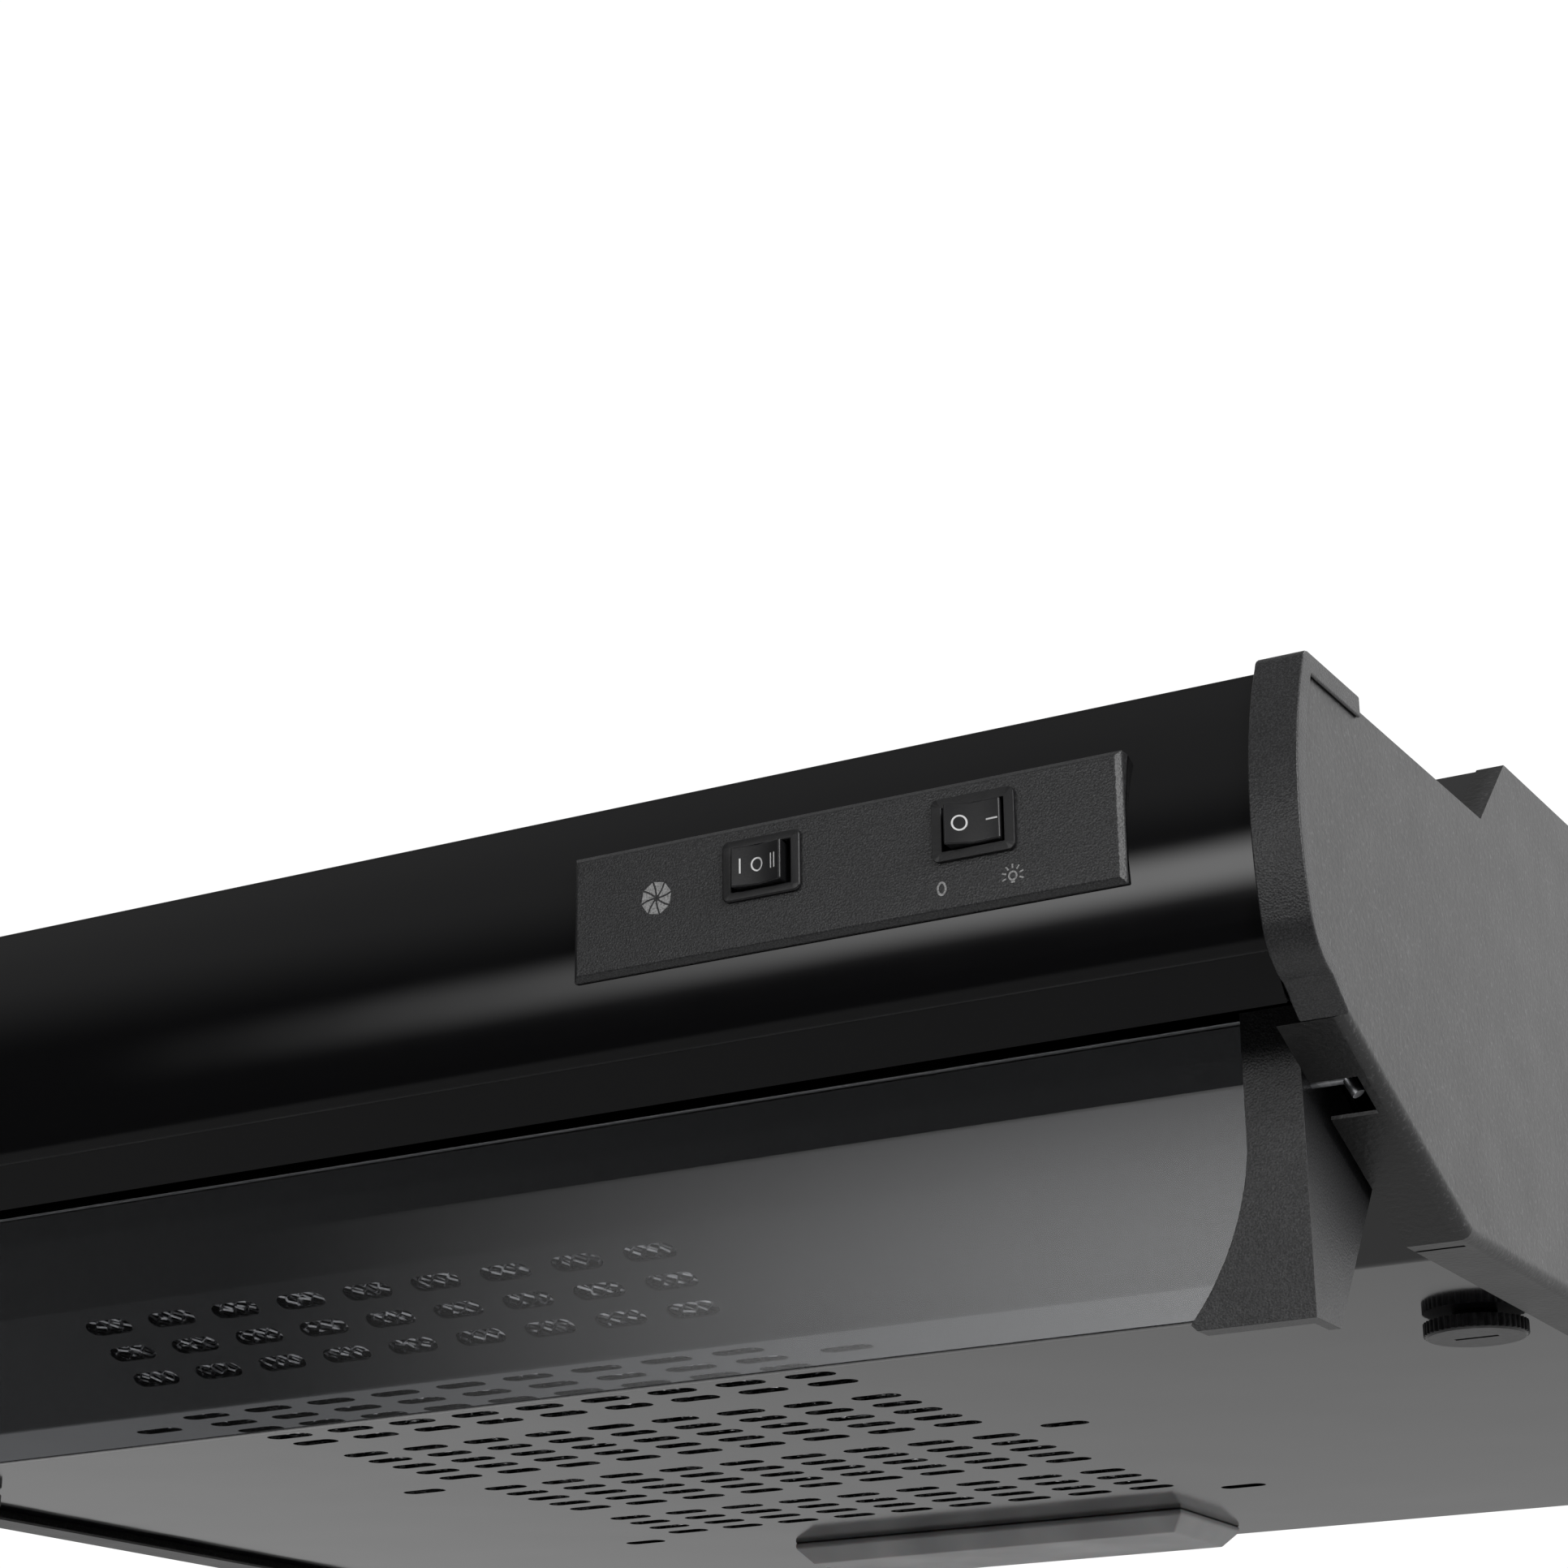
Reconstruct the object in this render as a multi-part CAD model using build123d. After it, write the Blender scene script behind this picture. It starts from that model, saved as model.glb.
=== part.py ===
from build123d import *
import math
import os

os.makedirs("parts", exist_ok=True)

# Under-cabinet range hood. x runs to the right, y to the back, z up, in millimetres.
# The origin is the middle of the cabinet screw pattern, on the raised top face.

# ---- overall sizes -------------------------------------------------------------------
width = 600.0                 # over the two side walls
depth = 540.0                 # front bulge of the end caps to the back panel
height = 139.0                # bottom flanges to the raised top
screw_row_back = 335.0        # the origin's distance behind the front
sheet = 0.8                   # body steel
half = width / 2
inner = half - sheet
touch = 0.3                   # gap between pieces of different bodies
running = 0.05                # radial clearance of a pin or shaft that turns

# ---- body outline, as (distance behind the front, height above the bottom edge) ------
front_top = 116.4             # top of the low front part
corner_back = 100.0           # where the slanted edge meets the bottom edge
slant_top = (23.0, 35.6)      # upper end of the slanted edge
step_start = 134.0            # foot of the step in the top
step_end = 158.0              # head of the step
flange = 16.5                 # inward bottom and slanted flanges of the side walls
wall_bend = 3.0               # outside bend radius of those flanges
step_flange_w = 7.5           # folded edge over the step, from the outside face
cap_width = 11.0
cap_rise = 3.0                # how far the end caps stand proud of the front sheet
cap_lip = 5.4                 # height of the cap's lip on the side wall
cap_lip_thick = 1.0
cap_arm_back = 45.0           # end of the cap's top arm
chin = (16.4, 38.6)           # lower edge of the front sheet
chin_return = (7.0, 5.0)      # its stiffening fold, back and up from that edge
relief_start, relief_end = 5.5, 7.0   # slit between the low flanges, behind the corner
flange_tab_long, flange_tab_high = 30.0, 11.0

# ---- control plate and switches ------------------------------------------------------
plate_left, plate_right = 109.0, 258.0
plate_bottom, plate_top = 68.0, 100.5
plate_front = 1.0
plate_chamfer = 1.4
switch_height = 88.5
fan_switch_x, light_switch_x = 163.5, 220.5
bezel_w, bezel_h, bezel_out = 21.5, 15.5, 1.2
switch_body_w, switch_body_h, switch_body_long = 19.0, 12.6, 17.0
rocker_w, rocker_h = 15.0, 10.2
rocker_tilt = 10.0            # degrees each side of the middle
rocker_pivot = 2.0            # pivot axis behind the plate's front face
rocker_proud, rocker_valley = 4.0, 2.4
terminal_w, terminal_long, terminal_thick = 4.8, 8.0, 0.8

# ---- grille panel --------------------------------------------------------------------
opening_gap = 1.5             # between the panel's edge and the side flanges
grille_height = 3.0           # underside of the flat part
grille_slope = 0.511          # rise per length of the inclined front part
grille_bend_back = 129.1      # where the incline meets the flat
grille_front = 56.0
grille_end = depth - 2.7
grille_fold_back = 84.0       # where the panel's front edge turns up more steeply
grille_lip_top = 46.9
grille_lip_half = half - 38.0       # half length of that fold, between the visor brackets
grille_bend = 4.0
slot_long, slot_wide = 16.0, 6.5
pattern_x = -16.0             # the perforation sits left of the middle
slot_columns, slot_pitch_x = 9, 23.1
first_row_back = 138.6
row_groups = (5, 5, 5, 4)     # rows in each group, with a plain row between groups
incline_rows, incline_first, incline_pitch = 3, 16.3, 12.6
side_slot_x = 120.0
side_slots_back = (150.6, 290.0, 433.0)
filter_half, filter_thick = 140.0, 6.0
wire_r = 1.2

# ---- grille hinge and latches --------------------------------------------------------
hinge_back, hinge_height = depth - 7.0, 7.0
hinge_x, hinge_pin_r = 200.0, 1.5
ear_thick, ear_r = 2.0, 3.2
lug_r, lug_thick = 2.9, 2.0
hinge_plate_half, hinge_plate_thick = 14.0, 1.5
hinge_plate_rise = 5.5        # foot of the bracket's plate above the hinge axis
hinge_plate_high = 16.0
hinge_screw_dx, hinge_screw_rise = 8.0, 10.0
knob_x, knob_back = half - 34.5, 203.0
knob_r, knob_thick, knob_gap = 14.0, 4.0, 1.4
spindle_r = 3.0
tongue_long, tongue_wide, tongue_thick = 25.0, 10.0, 1.5
keeper_w, keeper_long, keeper_inset = 9.0, 24.0, 1.5

# ---- visor ---------------------------------------------------------------------------
visor_back = 47.0             # middle plane of the glass
glass_thick = 3.0
glass_top, glass_bottom = 45.3, -24.0
bracket_outer = half - 19.0
bracket_top, bracket_bottom = 46.6, -26.5
bracket_narrow, bracket_wide = 14.4, 30.5
bracket_front_wall = 1.8      # bracket ahead of the glass
bracket_rear_wall = 1.6       # bracket behind the glass
arm_thick = 3.0
pin_back, pin_height = 50.4, 29.4
pin_r, pin_reach = 1.5, half - 10.5
pivot_ear_x, pivot_ear_thick = half - 28.0, 2.0
notch_outer, notch_front, notch_rear = half - 5.0, 42.0, 54.5
pivot_ear_r = 3.4

# ---- lamp ----------------------------------------------------------------------------
lamp_w, lamp_d, lamp_drop, lamp_wall = 157.0, 54.0, 7.5, 1.4
lamp_front = depth - 73.0
last_row_back = lamp_front - 49.1
filter_end = last_row_back + 10.1
lamp_x = -12.5
lamp_bevel, lamp_bevel_rise = 5.0, 5.5
bulb_r, bulb_long, bulb_height = 15.0, 62.0, 34.0
bulb_cap_r = 6.8
socket_r, socket_long, socket_neck_r = 12.5, 26.0, 8.0
socket_offset = 53.0          # socket's mouth end left of the lamp's middle
lamp_bracket_thick, lamp_bracket_foot = 1.0, 14.0
lamp_screw_in = 8.0

# ---- blower and outlet ---------------------------------------------------------------
outlet_back = 300.0
collar_r, collar_wall, collar_up = 59.5, 1.6, 34.0
collar_flange_r, collar_flange = collar_r + 10.5, 1.6
flap_height = 14.0            # hinge rod above the top face
flap_rod_r, flap_thick = 1.5, 1.2
flap_gap = 1.6
blower_height = 68.0          # shaft above the bottom edge
scroll_r, scroll_half, scroll_wall = 54.0, 52.0, 2.0
inlet_r = 37.0
drum_r, drum_inner, drum_half, drum_ring = 46.0, 38.0, 43.0, 2.0
drum_hub_r = 9.0
blades, blade_thick = 24, 1.0
shaft_r, bearing_r, bearing_wide = 4.0, 10.0, 6.0
motor_r, motor_in, motor_out = 29.0, 8.0, 46.0

# ---- electrics on the back panel -----------------------------------------------------
box_x, box_w, box_d, box_h = 38.0 - half, 70.0, 46.0, 34.0
box_up, box_wall = 50.0, 2.0
capacitor_x, capacitor_up = -120.0, 92.0
capacitor_r, capacitor_long = 15.0, 52.0
clamp_thick = 1.2

# ---- fixings -------------------------------------------------------------------------
mount_dx, mount_dy, mount_hole_r = 500.0, 260.0, 3.0
screw_shank_r, screw_head_r, screw_head = 1.7, 3.6, 2.2
gland_x, gland_height, gland_r = -230.0, 100.0, 6.5
gland_long, gland_bore_r = 8.0, 3.6


def Y(back):
    """y of a point this far behind the front."""
    return back - screw_row_back


def Z(up):
    """z of a point this far above the bottom edge."""
    return up - height


def save(node, *solids):
    """Write one named piece, or one group of equal pieces, as a STEP file."""
    flat = [s for item in solids for s in item.solids()]
    shape = flat[0] if len(flat) == 1 else Compound(children=flat)
    shape.label = node
    export_step(shape, f"parts/{node}.step")


def block(x0, x1, b0, b1, h0, h1):
    """Box between two x, two distances behind the front and two heights."""
    box = Box(x1 - x0, b1 - b0, h1 - h0, align=(Align.MIN, Align.MIN, Align.MIN))
    return Pos(x0, Y(b0), Z(h0)) * box


def side_face(points):
    """Flat face in the x = 0 plane from (back, up) points."""
    return make_face(Polyline(*[(0, Y(b), Z(h)) for b, h in points], close=True))


def prism(face, x0, x1):
    """A face of the x = 0 plane, extruded from x0 to x1."""
    return Pos(x0, 0, 0) * extrude(face, amount=x1 - x0, dir=(1, 0, 0))


def rod_x(x0, x1, back, up, r):
    """Round bar along x."""
    bar = Cylinder(r, x1 - x0, align=(Align.CENTER, Align.CENTER, Align.MIN))
    return Pos(x0, Y(back), Z(up)) * Rot(0, 90, 0) * bar


def rod_y(x, b0, b1, up, r):
    """Round bar along y."""
    bar = Cylinder(r, b1 - b0, align=(Align.CENTER, Align.CENTER, Align.MIN))
    return Pos(x, Y(b0), Z(up)) * Rot(-90, 0, 0) * bar


def rod_z(x, back, h0, h1, r):
    """Round bar along z."""
    bar = Cylinder(r, h1 - h0, align=(Align.CENTER, Align.CENTER, Align.MIN))
    return Pos(x, Y(back), Z(h0)) * bar


def band(points, thick):
    """Closed outline of a folded sheet: the points, then their parallel line, mitred."""
    def normal(p, q):
        run = math.dist(p, q)
        return (-(q[1] - p[1]) / run, (q[0] - p[0]) / run)
    sides = [normal(p, q) for p, q in zip(points, points[1:])]
    other = []
    for i, (b, h) in enumerate(points):
        n0 = sides[max(i - 1, 0)]
        n1 = sides[min(i, len(sides) - 1)]
        share = thick / (1 + n0[0] * n1[0] + n0[1] * n1[1])
        other.append((b + share * (n0[0] + n1[0]), h + share * (n0[1] + n1[1])))
    return list(points) + other[::-1]


def mirrored(solid):
    return mirror(solid, about=Plane.YZ)


def pair(name, right):
    """Write a right-hand piece and its mirror image."""
    save(f"{name}_right", right)
    save(f"{name}_left", mirrored(right))


# ======================================================================================
# Body outline: the rounded nose, shared by the end caps, front sheet and side walls
# ======================================================================================
nose_back = 60.0
slant_fall = slant_top[1] / (corner_back - slant_top[0])
nose_low = slant_top[1] - slant_fall * (nose_back - slant_top[0])
cap_top = front_top + cap_rise


def yz(back, up):
    return (0, Y(back), Z(up))


def nose_face():
    """Outer outline of the end caps, closed behind the nose."""
    knee = (2.8, cap_top - 64.4)
    jaw_end = (14.0, cap_top - 76.9)
    top_edge = Line(yz(nose_back, cap_top), yz(12.4, cap_top))
    corner = ThreePointArc(yz(12.4, cap_top), yz(9.9, cap_top - 0.9), yz(8.6, cap_top - 3.0))
    brow = ThreePointArc(yz(8.6, cap_top - 3.0), yz(0.1, cap_top - 36.4), yz(*knee))
    jaw = ThreePointArc(yz(*knee), yz(6.2, cap_top - 71.6), yz(*jaw_end))
    under = Line(yz(*jaw_end), yz(*slant_top))
    slant = Line(yz(*slant_top), yz(nose_back, nose_low))
    close = Line(yz(nose_back, nose_low), yz(nose_back, cap_top))
    return make_face([top_edge, corner, brow, jaw, under, slant, close])


nose = nose_face()


def nose_inset(amount, x0, x1):
    return prism(offset(nose, amount=-amount), x0, x1)


# ---- end caps: a proud rim over the front sheet, and a thin lip on the side wall
cap_keep = block(0, half + 5, -5, cap_arm_back, cap_top - 2 * cap_lip, cap_top + 5)
cap_keep += block(0, half + 5, -5, slant_top[0], slant_top[1] - 5, cap_top)
rim = prism(nose, half - cap_width, half) - nose_inset(cap_rise, half - cap_width - 1, half + 1)
lip = prism(nose, half, half + cap_lip_thick)
lip -= nose_inset(cap_lip, half - 1, half + cap_lip_thick + 1)
end_cap = (rim + lip) & cap_keep
end_cap -= block(half - cap_width - 1, half, 20, cap_arm_back + 1, front_top - 10, front_top)
pair("end_cap", end_cap)

# ---- front sheet: curved nose and low front top in one bent piece
curve = nose_inset(cap_rise, -inner, inner) - nose_inset(cap_rise + sheet, -half, half)
chin_start = (9.4, cap_top - 70.0)
chin_half = half - cap_width - 0.1
curve_keep = block(-half, half, -5, 16, cap_top - 70.5, cap_top)
front_sheet = curve & curve_keep
front_sheet += block(-inner, inner, 15.5, step_start, front_top - sheet, front_top)
chin_line = [chin_start, chin, (chin[0] + chin_return[0], chin[1] + chin_return[1])]
front_sheet += prism(side_face(band(chin_line, sheet)), -chin_half, chin_half)

# ---- control plate, shaped to the curved sheet behind it
plate = block(plate_left, plate_right, plate_front, 12, plate_bottom, plate_top)
plate -= nose_inset(cap_rise, plate_left - 1, plate_right + 1)
plate = chamfer(plate.faces().sort_by(Axis.Y)[0].edges(), plate_chamfer)


# ---- rocker switches: a body through the plate, a rocker on a vertical pivot, and tabs
def switch_body(x):
    bezel = block(x - bezel_w / 2, x + bezel_w / 2, plate_front - bezel_out, plate_front,
                  switch_height - bezel_h / 2, switch_height + bezel_h / 2)
    bezel = fillet(bezel.edges().filter_by(Axis.Y), 1.6)
    body = block(x - switch_body_w / 2, x + switch_body_w / 2, plate_front,
                 plate_front + switch_body_long,
                 switch_height - switch_body_h / 2, switch_height + switch_body_h / 2)
    well = block(x - rocker_w / 2 - 0.6, x + rocker_w / 2 + 0.6, plate_front - 3, plate_front + 9,
                 switch_height - rocker_h / 2 - touch, switch_height + rocker_h / 2 + touch)
    return bezel + body - well


def rocker(x, turn):
    """Rocker with two finger faces that meet at a shallow valley, on a vertical pivot."""
    low = switch_height - rocker_h / 2
    reach = rocker_w / 2 - 0.5
    outline = Polyline((x - reach, Y(plate_front - rocker_proud)),
                       (x, Y(plate_front - rocker_valley)),
                       (x + reach, Y(plate_front - rocker_proud)),
                       (x + reach - 1, Y(plate_front + 3.0)),
                       (x, Y(plate_front + 6.0)), (x - reach + 1, Y(plate_front + 3.0)),
                       close=True)
    solid = Pos(0, 0, Z(low)) * extrude(make_face(outline), amount=rocker_h, dir=(0, 0, 1))
    solid = fillet(solid.edges().filter_by(Axis.Z).group_by(Axis.Y)[0], 0.5)
    pivot = Axis((x, Y(plate_front + rocker_pivot), 0), (0, 0, 1))
    return solid.rotate(pivot, turn)


save("fan_switch_body", switch_body(fan_switch_x))
save("light_switch_body", switch_body(light_switch_x))
save("fan_rocker", rocker(fan_switch_x, 0))
save("light_rocker", rocker(light_switch_x, rocker_tilt))

terminals = []
for centre, places in ((fan_switch_x, (-6, 0, 6)), (light_switch_x, (-4, 4))):
    for dx in places:
        start = plate_front + switch_body_long
        terminals.append(block(centre + dx - terminal_thick / 2, centre + dx + terminal_thick / 2,
                               start, start + terminal_long,
                               switch_height - terminal_w / 2, switch_height + terminal_w / 2))
save("switch_terminals", *terminals)

for centre in (fan_switch_x, light_switch_x):
    hole = block(centre - switch_body_w / 2, centre + switch_body_w / 2, -5, 30,
                 switch_height - switch_body_h / 2, switch_height + switch_body_h / 2)
    plate -= hole
    front_sheet -= hole
save("control_plate", plate)
save("front_panel", front_sheet)

# ======================================================================================
# Side walls: one folded sheet each, with bottom, slanted and step flanges
# ======================================================================================
wall_points = [slant_top, (corner_back, 0), (depth, 0), (depth, height), (step_end, height),
               (step_start, front_top), (30, front_top), (30, 50)]
wall_face = side_face(wall_points)
wall_nose = offset(nose, amount=-cap_rise) & side_face([(-5, 30), (31, 30), (31, front_top),
                                                        (-5, front_top)])
wall_face = wall_face + wall_nose


def rounded_low_edges(solid, x, radius):
    """Round the long bottom and slanted edges of a wall prism at this x."""
    def is_low(edge):
        middle = edge @ 0.5
        back, up = middle.Y + screw_row_back, middle.Z + height
        on_side = abs(middle.X - x) < 0.01 and edge.length > 30
        return on_side and (up < 1.0 or (back < corner_back and up < slant_top[1] and back > 24))
    return fillet(ShapeList([e for e in solid.edges() if is_low(e)]), radius)


wall_outer = rounded_low_edges(prism(wall_face, half - flange, half), half, wall_bend)
slant_run = math.hypot(1, slant_fall)
inside_points = [(slant_top[0] - 40, slant_top[1] + 40 * slant_fall + sheet * slant_run),
                 (corner_back + sheet * (slant_run - 1) / slant_fall, sheet), (depth + 9, sheet),
                 (depth + 9, height + 9), (slant_top[0] - 40, height + 9)]
hollow = prism(side_face(inside_points), half - flange - 1, half - sheet)


def is_inner_low(edge):
    middle = edge @ 0.5
    back, up = middle.Y + screw_row_back, middle.Z + height
    low = abs(up - sheet) < 0.01 or (back < corner_back - 3 and up < 60 and edge.length < 200)
    return abs(middle.X - inner) < 0.01 and low and edge.length > 60 and up < 60


hollow = fillet(ShapeList([e for e in hollow.edges() if is_inner_low(e)]), wall_bend - sheet)
side_wall = wall_outer - hollow
# relief cut where the bottom and slanted flanges meet, and the pin notch in the slanted one
side_wall -= block(half - flange - 1, half - 4, corner_back + relief_start,
                   corner_back + relief_end, -1, 3)
side_wall += block(half - flange, half - flange + sheet, corner_back + relief_end,
                   corner_back + relief_end + flange_tab_long, 0, flange_tab_high)
side_wall -= block(half - flange - 1, notch_outer, notch_front, notch_rear, 15, 40)
# the step's folded edge, lying over the sloping face of the top panel
step_strip = side_face(band([(step_end, height), (step_start, front_top)], sheet))
side_wall += prism(step_strip, half - step_flange_w, inner + 0.1)
pair("side_wall", side_wall)

# ======================================================================================
# Top and back panels
# ======================================================================================
step_dir = math.hypot(step_end - step_start, height - front_top)
step_shift = sheet * step_dir / (height - front_top)
lap_drop = sheet * (step_end - step_start) / (height - front_top)
lap_line = [(step_start - 14, front_top - sheet),
            (step_start + step_shift - lap_drop, front_top - sheet),
            (step_end + step_shift, height), (depth - sheet, height)]
top_panel = prism(side_face(band(lap_line[::-1], sheet)), -inner, inner)
for side in (-1, 1):
    x0, x1 = sorted((side * inner, side * (inner - sheet)))
    top_panel += block(x0, x1, step_end + 6, depth - sheet, height - 9, height - sheet)
top_panel -= rod_z(0, outlet_back, height - 5, height + 5, collar_r - collar_wall)
for dx in (-mount_dx / 2, mount_dx / 2):
    for dy in (-mount_dy / 2, mount_dy / 2):
        top_panel -= rod_z(dx, screw_row_back + dy, height - 5, height + 5, mount_hole_r)
collar_screw_r = (collar_r + collar_flange_r) / 2
collar_screw_places = [(collar_screw_r * math.cos(a), outlet_back + collar_screw_r * math.sin(a))
                       for a in (math.radians(45 + 90 * i) for i in range(4))]
for x, back in collar_screw_places:
    top_panel -= rod_z(x, back, height - 5, height + 5, screw_shank_r)

back_low = grille_height + sheet + 1.2    # above the grille panel's rear edge
back_panel = block(-inner, inner, depth - sheet, depth, back_low, height)
for side in (-1, 1):
    x0, x1 = sorted((side * inner, side * (inner - sheet)))
    back_panel += block(x0, x1, depth - 14, depth - sheet, 6, height - 12)
for side in (-1, 1):
    x0, x1 = sorted((side * (half - flange), side * inner))
    back_panel += block(x0, x1, depth - sheet, depth, wall_bend, back_low)
back_panel -= rod_y(gland_x, depth - 5, depth + 5, gland_height, gland_r)
fixing_places = [(x, height - 24.0) for x in (-170, 170)]
for x, up in fixing_places:
    back_panel -= rod_y(x, depth - 5, depth + 5, up, mount_hole_r)

# ======================================================================================
# Grille panel, with its filter, hinges, latches and lamp cover
# ======================================================================================
grille_half = half - flange - opening_gap
grille_rise = grille_height + grille_slope * (grille_bend_back - grille_front)
grille_line = [(grille_front, grille_rise), (grille_bend_back, grille_height),
               (grille_end, grille_height)]
grille = prism(side_face(band(grille_line, sheet)), -grille_half, grille_half)


def at_bend(edge):
    middle = edge @ 0.5
    back = middle.Y + screw_row_back
    return abs(back - grille_bend_back) < 1.5 and edge.length > grille_half


under_edge = ShapeList([e for e in grille.edges() if at_bend(e)]).sort_by(Axis.Z)
grille = fillet(under_edge[0], grille_bend + sheet)
upper_edge = ShapeList([e for e in grille.edges() if at_bend(e)]).sort_by(Axis.Z)
grille = fillet(upper_edge[-1], grille_bend)

fold_up = grille_height + grille_slope * (grille_bend_back - grille_fold_back)
grille -= block(-grille_lip_half, grille_lip_half, grille_front - 1, grille_fold_back,
                fold_up - 1, grille_rise + 2)
fold_line = [(grille_front, grille_lip_top), (grille_fold_back, fold_up),
             (grille_fold_back + 2, fold_up - 2 * grille_slope)]
grille += prism(side_face(band(fold_line, sheet)), -grille_lip_half, grille_lip_half)

slot = extrude(SlotOverall(slot_long, slot_wide), amount=12, both=True)
column_xs = [pattern_x + (i - (slot_columns - 1) / 2) * slot_pitch_x
             for i in range(slot_columns)]
slots = []
row_count = sum(row_groups) + len(row_groups) - 1
slot_pitch_y = (last_row_back - first_row_back) / (row_count - 1)
row = 0
for rows in row_groups:
    for i in range(rows):
        back = first_row_back + (row + i) * slot_pitch_y
        slots += [Pos(x, Y(back), Z(grille_height)) * slot for x in column_xs]
    row += rows + 1
for back in side_slots_back:
    slots += [Pos(x, Y(back), Z(grille_height)) * slot
              for x in (pattern_x - side_slot_x, pattern_x + side_slot_x)]
tilt = math.degrees(math.atan(grille_slope))
incline_run = math.hypot(1, grille_slope)
for i in range(incline_rows):
    along = (incline_first + i * incline_pitch) / incline_run
    place = Pos(0, Y(grille_bend_back - along), Z(grille_height + grille_slope * along))
    slots += [place * Pos(x, 0, 0) * Rot(-tilt, 0, 0) * slot for x in column_xs]
grille -= slots

# lamp opening, smaller than the cover's rim
lamp_rim = 6.0
grille -= block(lamp_x - lamp_w / 2 + lamp_rim, lamp_x + lamp_w / 2 - lamp_rim,
                lamp_front + lamp_rim, lamp_front + lamp_d - lamp_rim, 0, 9)
for side in (-1, 1):
    grille -= rod_z(side * knob_x, knob_back, -5, 9, spindle_r + running)

# lamp cover: bevelled frosted tray below the panel, with a neck up through the opening
tray_top, tray_low = grille_height, grille_height - lamp_drop
tray = block(lamp_x - lamp_w / 2, lamp_x + lamp_w / 2, lamp_front, lamp_front + lamp_d,
             tray_low, tray_top)
tray = chamfer(tray.faces().sort_by(Axis.Z)[0].edges(), lamp_bevel_rise, lamp_bevel)
neck_inset = lamp_rim + 0.2
tray += block(lamp_x - lamp_w / 2 + neck_inset, lamp_x + lamp_w / 2 - neck_inset,
              lamp_front + neck_inset, lamp_front + lamp_d - neck_inset, tray_top, tray_top + 6)
tray_hole = neck_inset + lamp_wall
tray -= block(lamp_x - lamp_w / 2 + tray_hole, lamp_x + lamp_w / 2 - tray_hole,
              lamp_front + tray_hole, lamp_front + lamp_d - tray_hole, tray_low + lamp_wall,
              tray_top + 9)
save("lamp_cover", tray)

# filter pad on the inside of the panel, following its bend, and the wires that hold it
pad_low = band(grille_line, sheet + 0.4)[3:][::-1]
pad_start = grille_fold_back - grille_front + 2
pad_line = [(pad_low[0][0] + pad_start, pad_low[0][1] - pad_start * grille_slope), pad_low[1],
            (filter_end, pad_low[2][1])]
filter_left, filter_right = pattern_x - filter_half, pattern_x + filter_half
save("grease_filter", prism(side_face(band(pad_line, filter_thick)), filter_left, filter_right))
wire_up = pad_line[2][1] + filter_thick + wire_r
wires = []
for back in (170.0, 290.0, 410.0):
    wire = rod_x(filter_left - 6, filter_right + 6, back, wire_up, wire_r)
    for x in (filter_left - 6, filter_right + 6):
        wire += rod_z(x, back, grille_height + sheet, wire_up, wire_r) + rod_x(
            x - 0.5, x + 0.5, back, wire_up, wire_r)
    wires.append(wire)
save("filter_wires", *wires)

# rear hinges: an ear on the panel between the two lugs of a bracket on the back panel
panel_top = grille_height + sheet
ear = block(hinge_x - ear_thick / 2, hinge_x + ear_thick / 2, hinge_back - 20, hinge_back,
            panel_top, hinge_height + ear_r)
ear += rod_x(hinge_x - ear_thick / 2, hinge_x + ear_thick / 2, hinge_back, hinge_height, ear_r)
ear += block(hinge_x - 9, hinge_x + 9, hinge_back - 26, hinge_back - 6, panel_top, panel_top + 1.5)
ear -= rod_x(hinge_x - 9, hinge_x + 9, hinge_back, hinge_height, hinge_pin_r + running)
pair("grille_hinge_ear", ear)

lug_in = ear_thick / 2 + touch
lug_out = lug_in + lug_thick
hinge_plate_low = hinge_height + hinge_plate_rise
hinge_plate_top = hinge_plate_low + hinge_plate_high
hinge_bracket = block(hinge_x - hinge_plate_half, hinge_x + hinge_plate_half,
                      depth - sheet - hinge_plate_thick, depth - sheet,
                      hinge_plate_low, hinge_plate_top)
for a, b in ((-lug_out, -lug_in), (lug_in, lug_out)):
    hinge_bracket += block(hinge_x + a, hinge_x + b, hinge_back - lug_r, hinge_back + lug_r / 2,
                           hinge_height, hinge_plate_low + 4)
    hinge_bracket += block(hinge_x + a, hinge_x + b, hinge_back - lug_r, depth - sheet,
                           hinge_plate_low, hinge_plate_low + 4)
    hinge_bracket += rod_x(hinge_x + a, hinge_x + b, hinge_back, hinge_height, lug_r)
hinge_bracket -= rod_x(hinge_x - 9, hinge_x + 9, hinge_back, hinge_height, hinge_pin_r)
hinge_screw_up = hinge_plate_low + hinge_screw_rise
for dx in (-hinge_screw_dx, hinge_screw_dx):
    hole = rod_y(hinge_x + dx, depth - 9, depth + 5, hinge_screw_up, screw_shank_r)
    hinge_bracket -= hole
    back_panel -= hole + mirrored(hole)
pair("hinge_bracket", hinge_bracket)
hinge_pin = rod_x(hinge_x - lug_out - 0.6, hinge_x + lug_out, hinge_back, hinge_height, hinge_pin_r)
hinge_pin += rod_x(hinge_x + lug_out, hinge_x + lug_out + 1.2, hinge_back, hinge_height,
                   hinge_pin_r + 1.0)
save("hinge_pins", hinge_pin, mirrored(hinge_pin))

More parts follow.
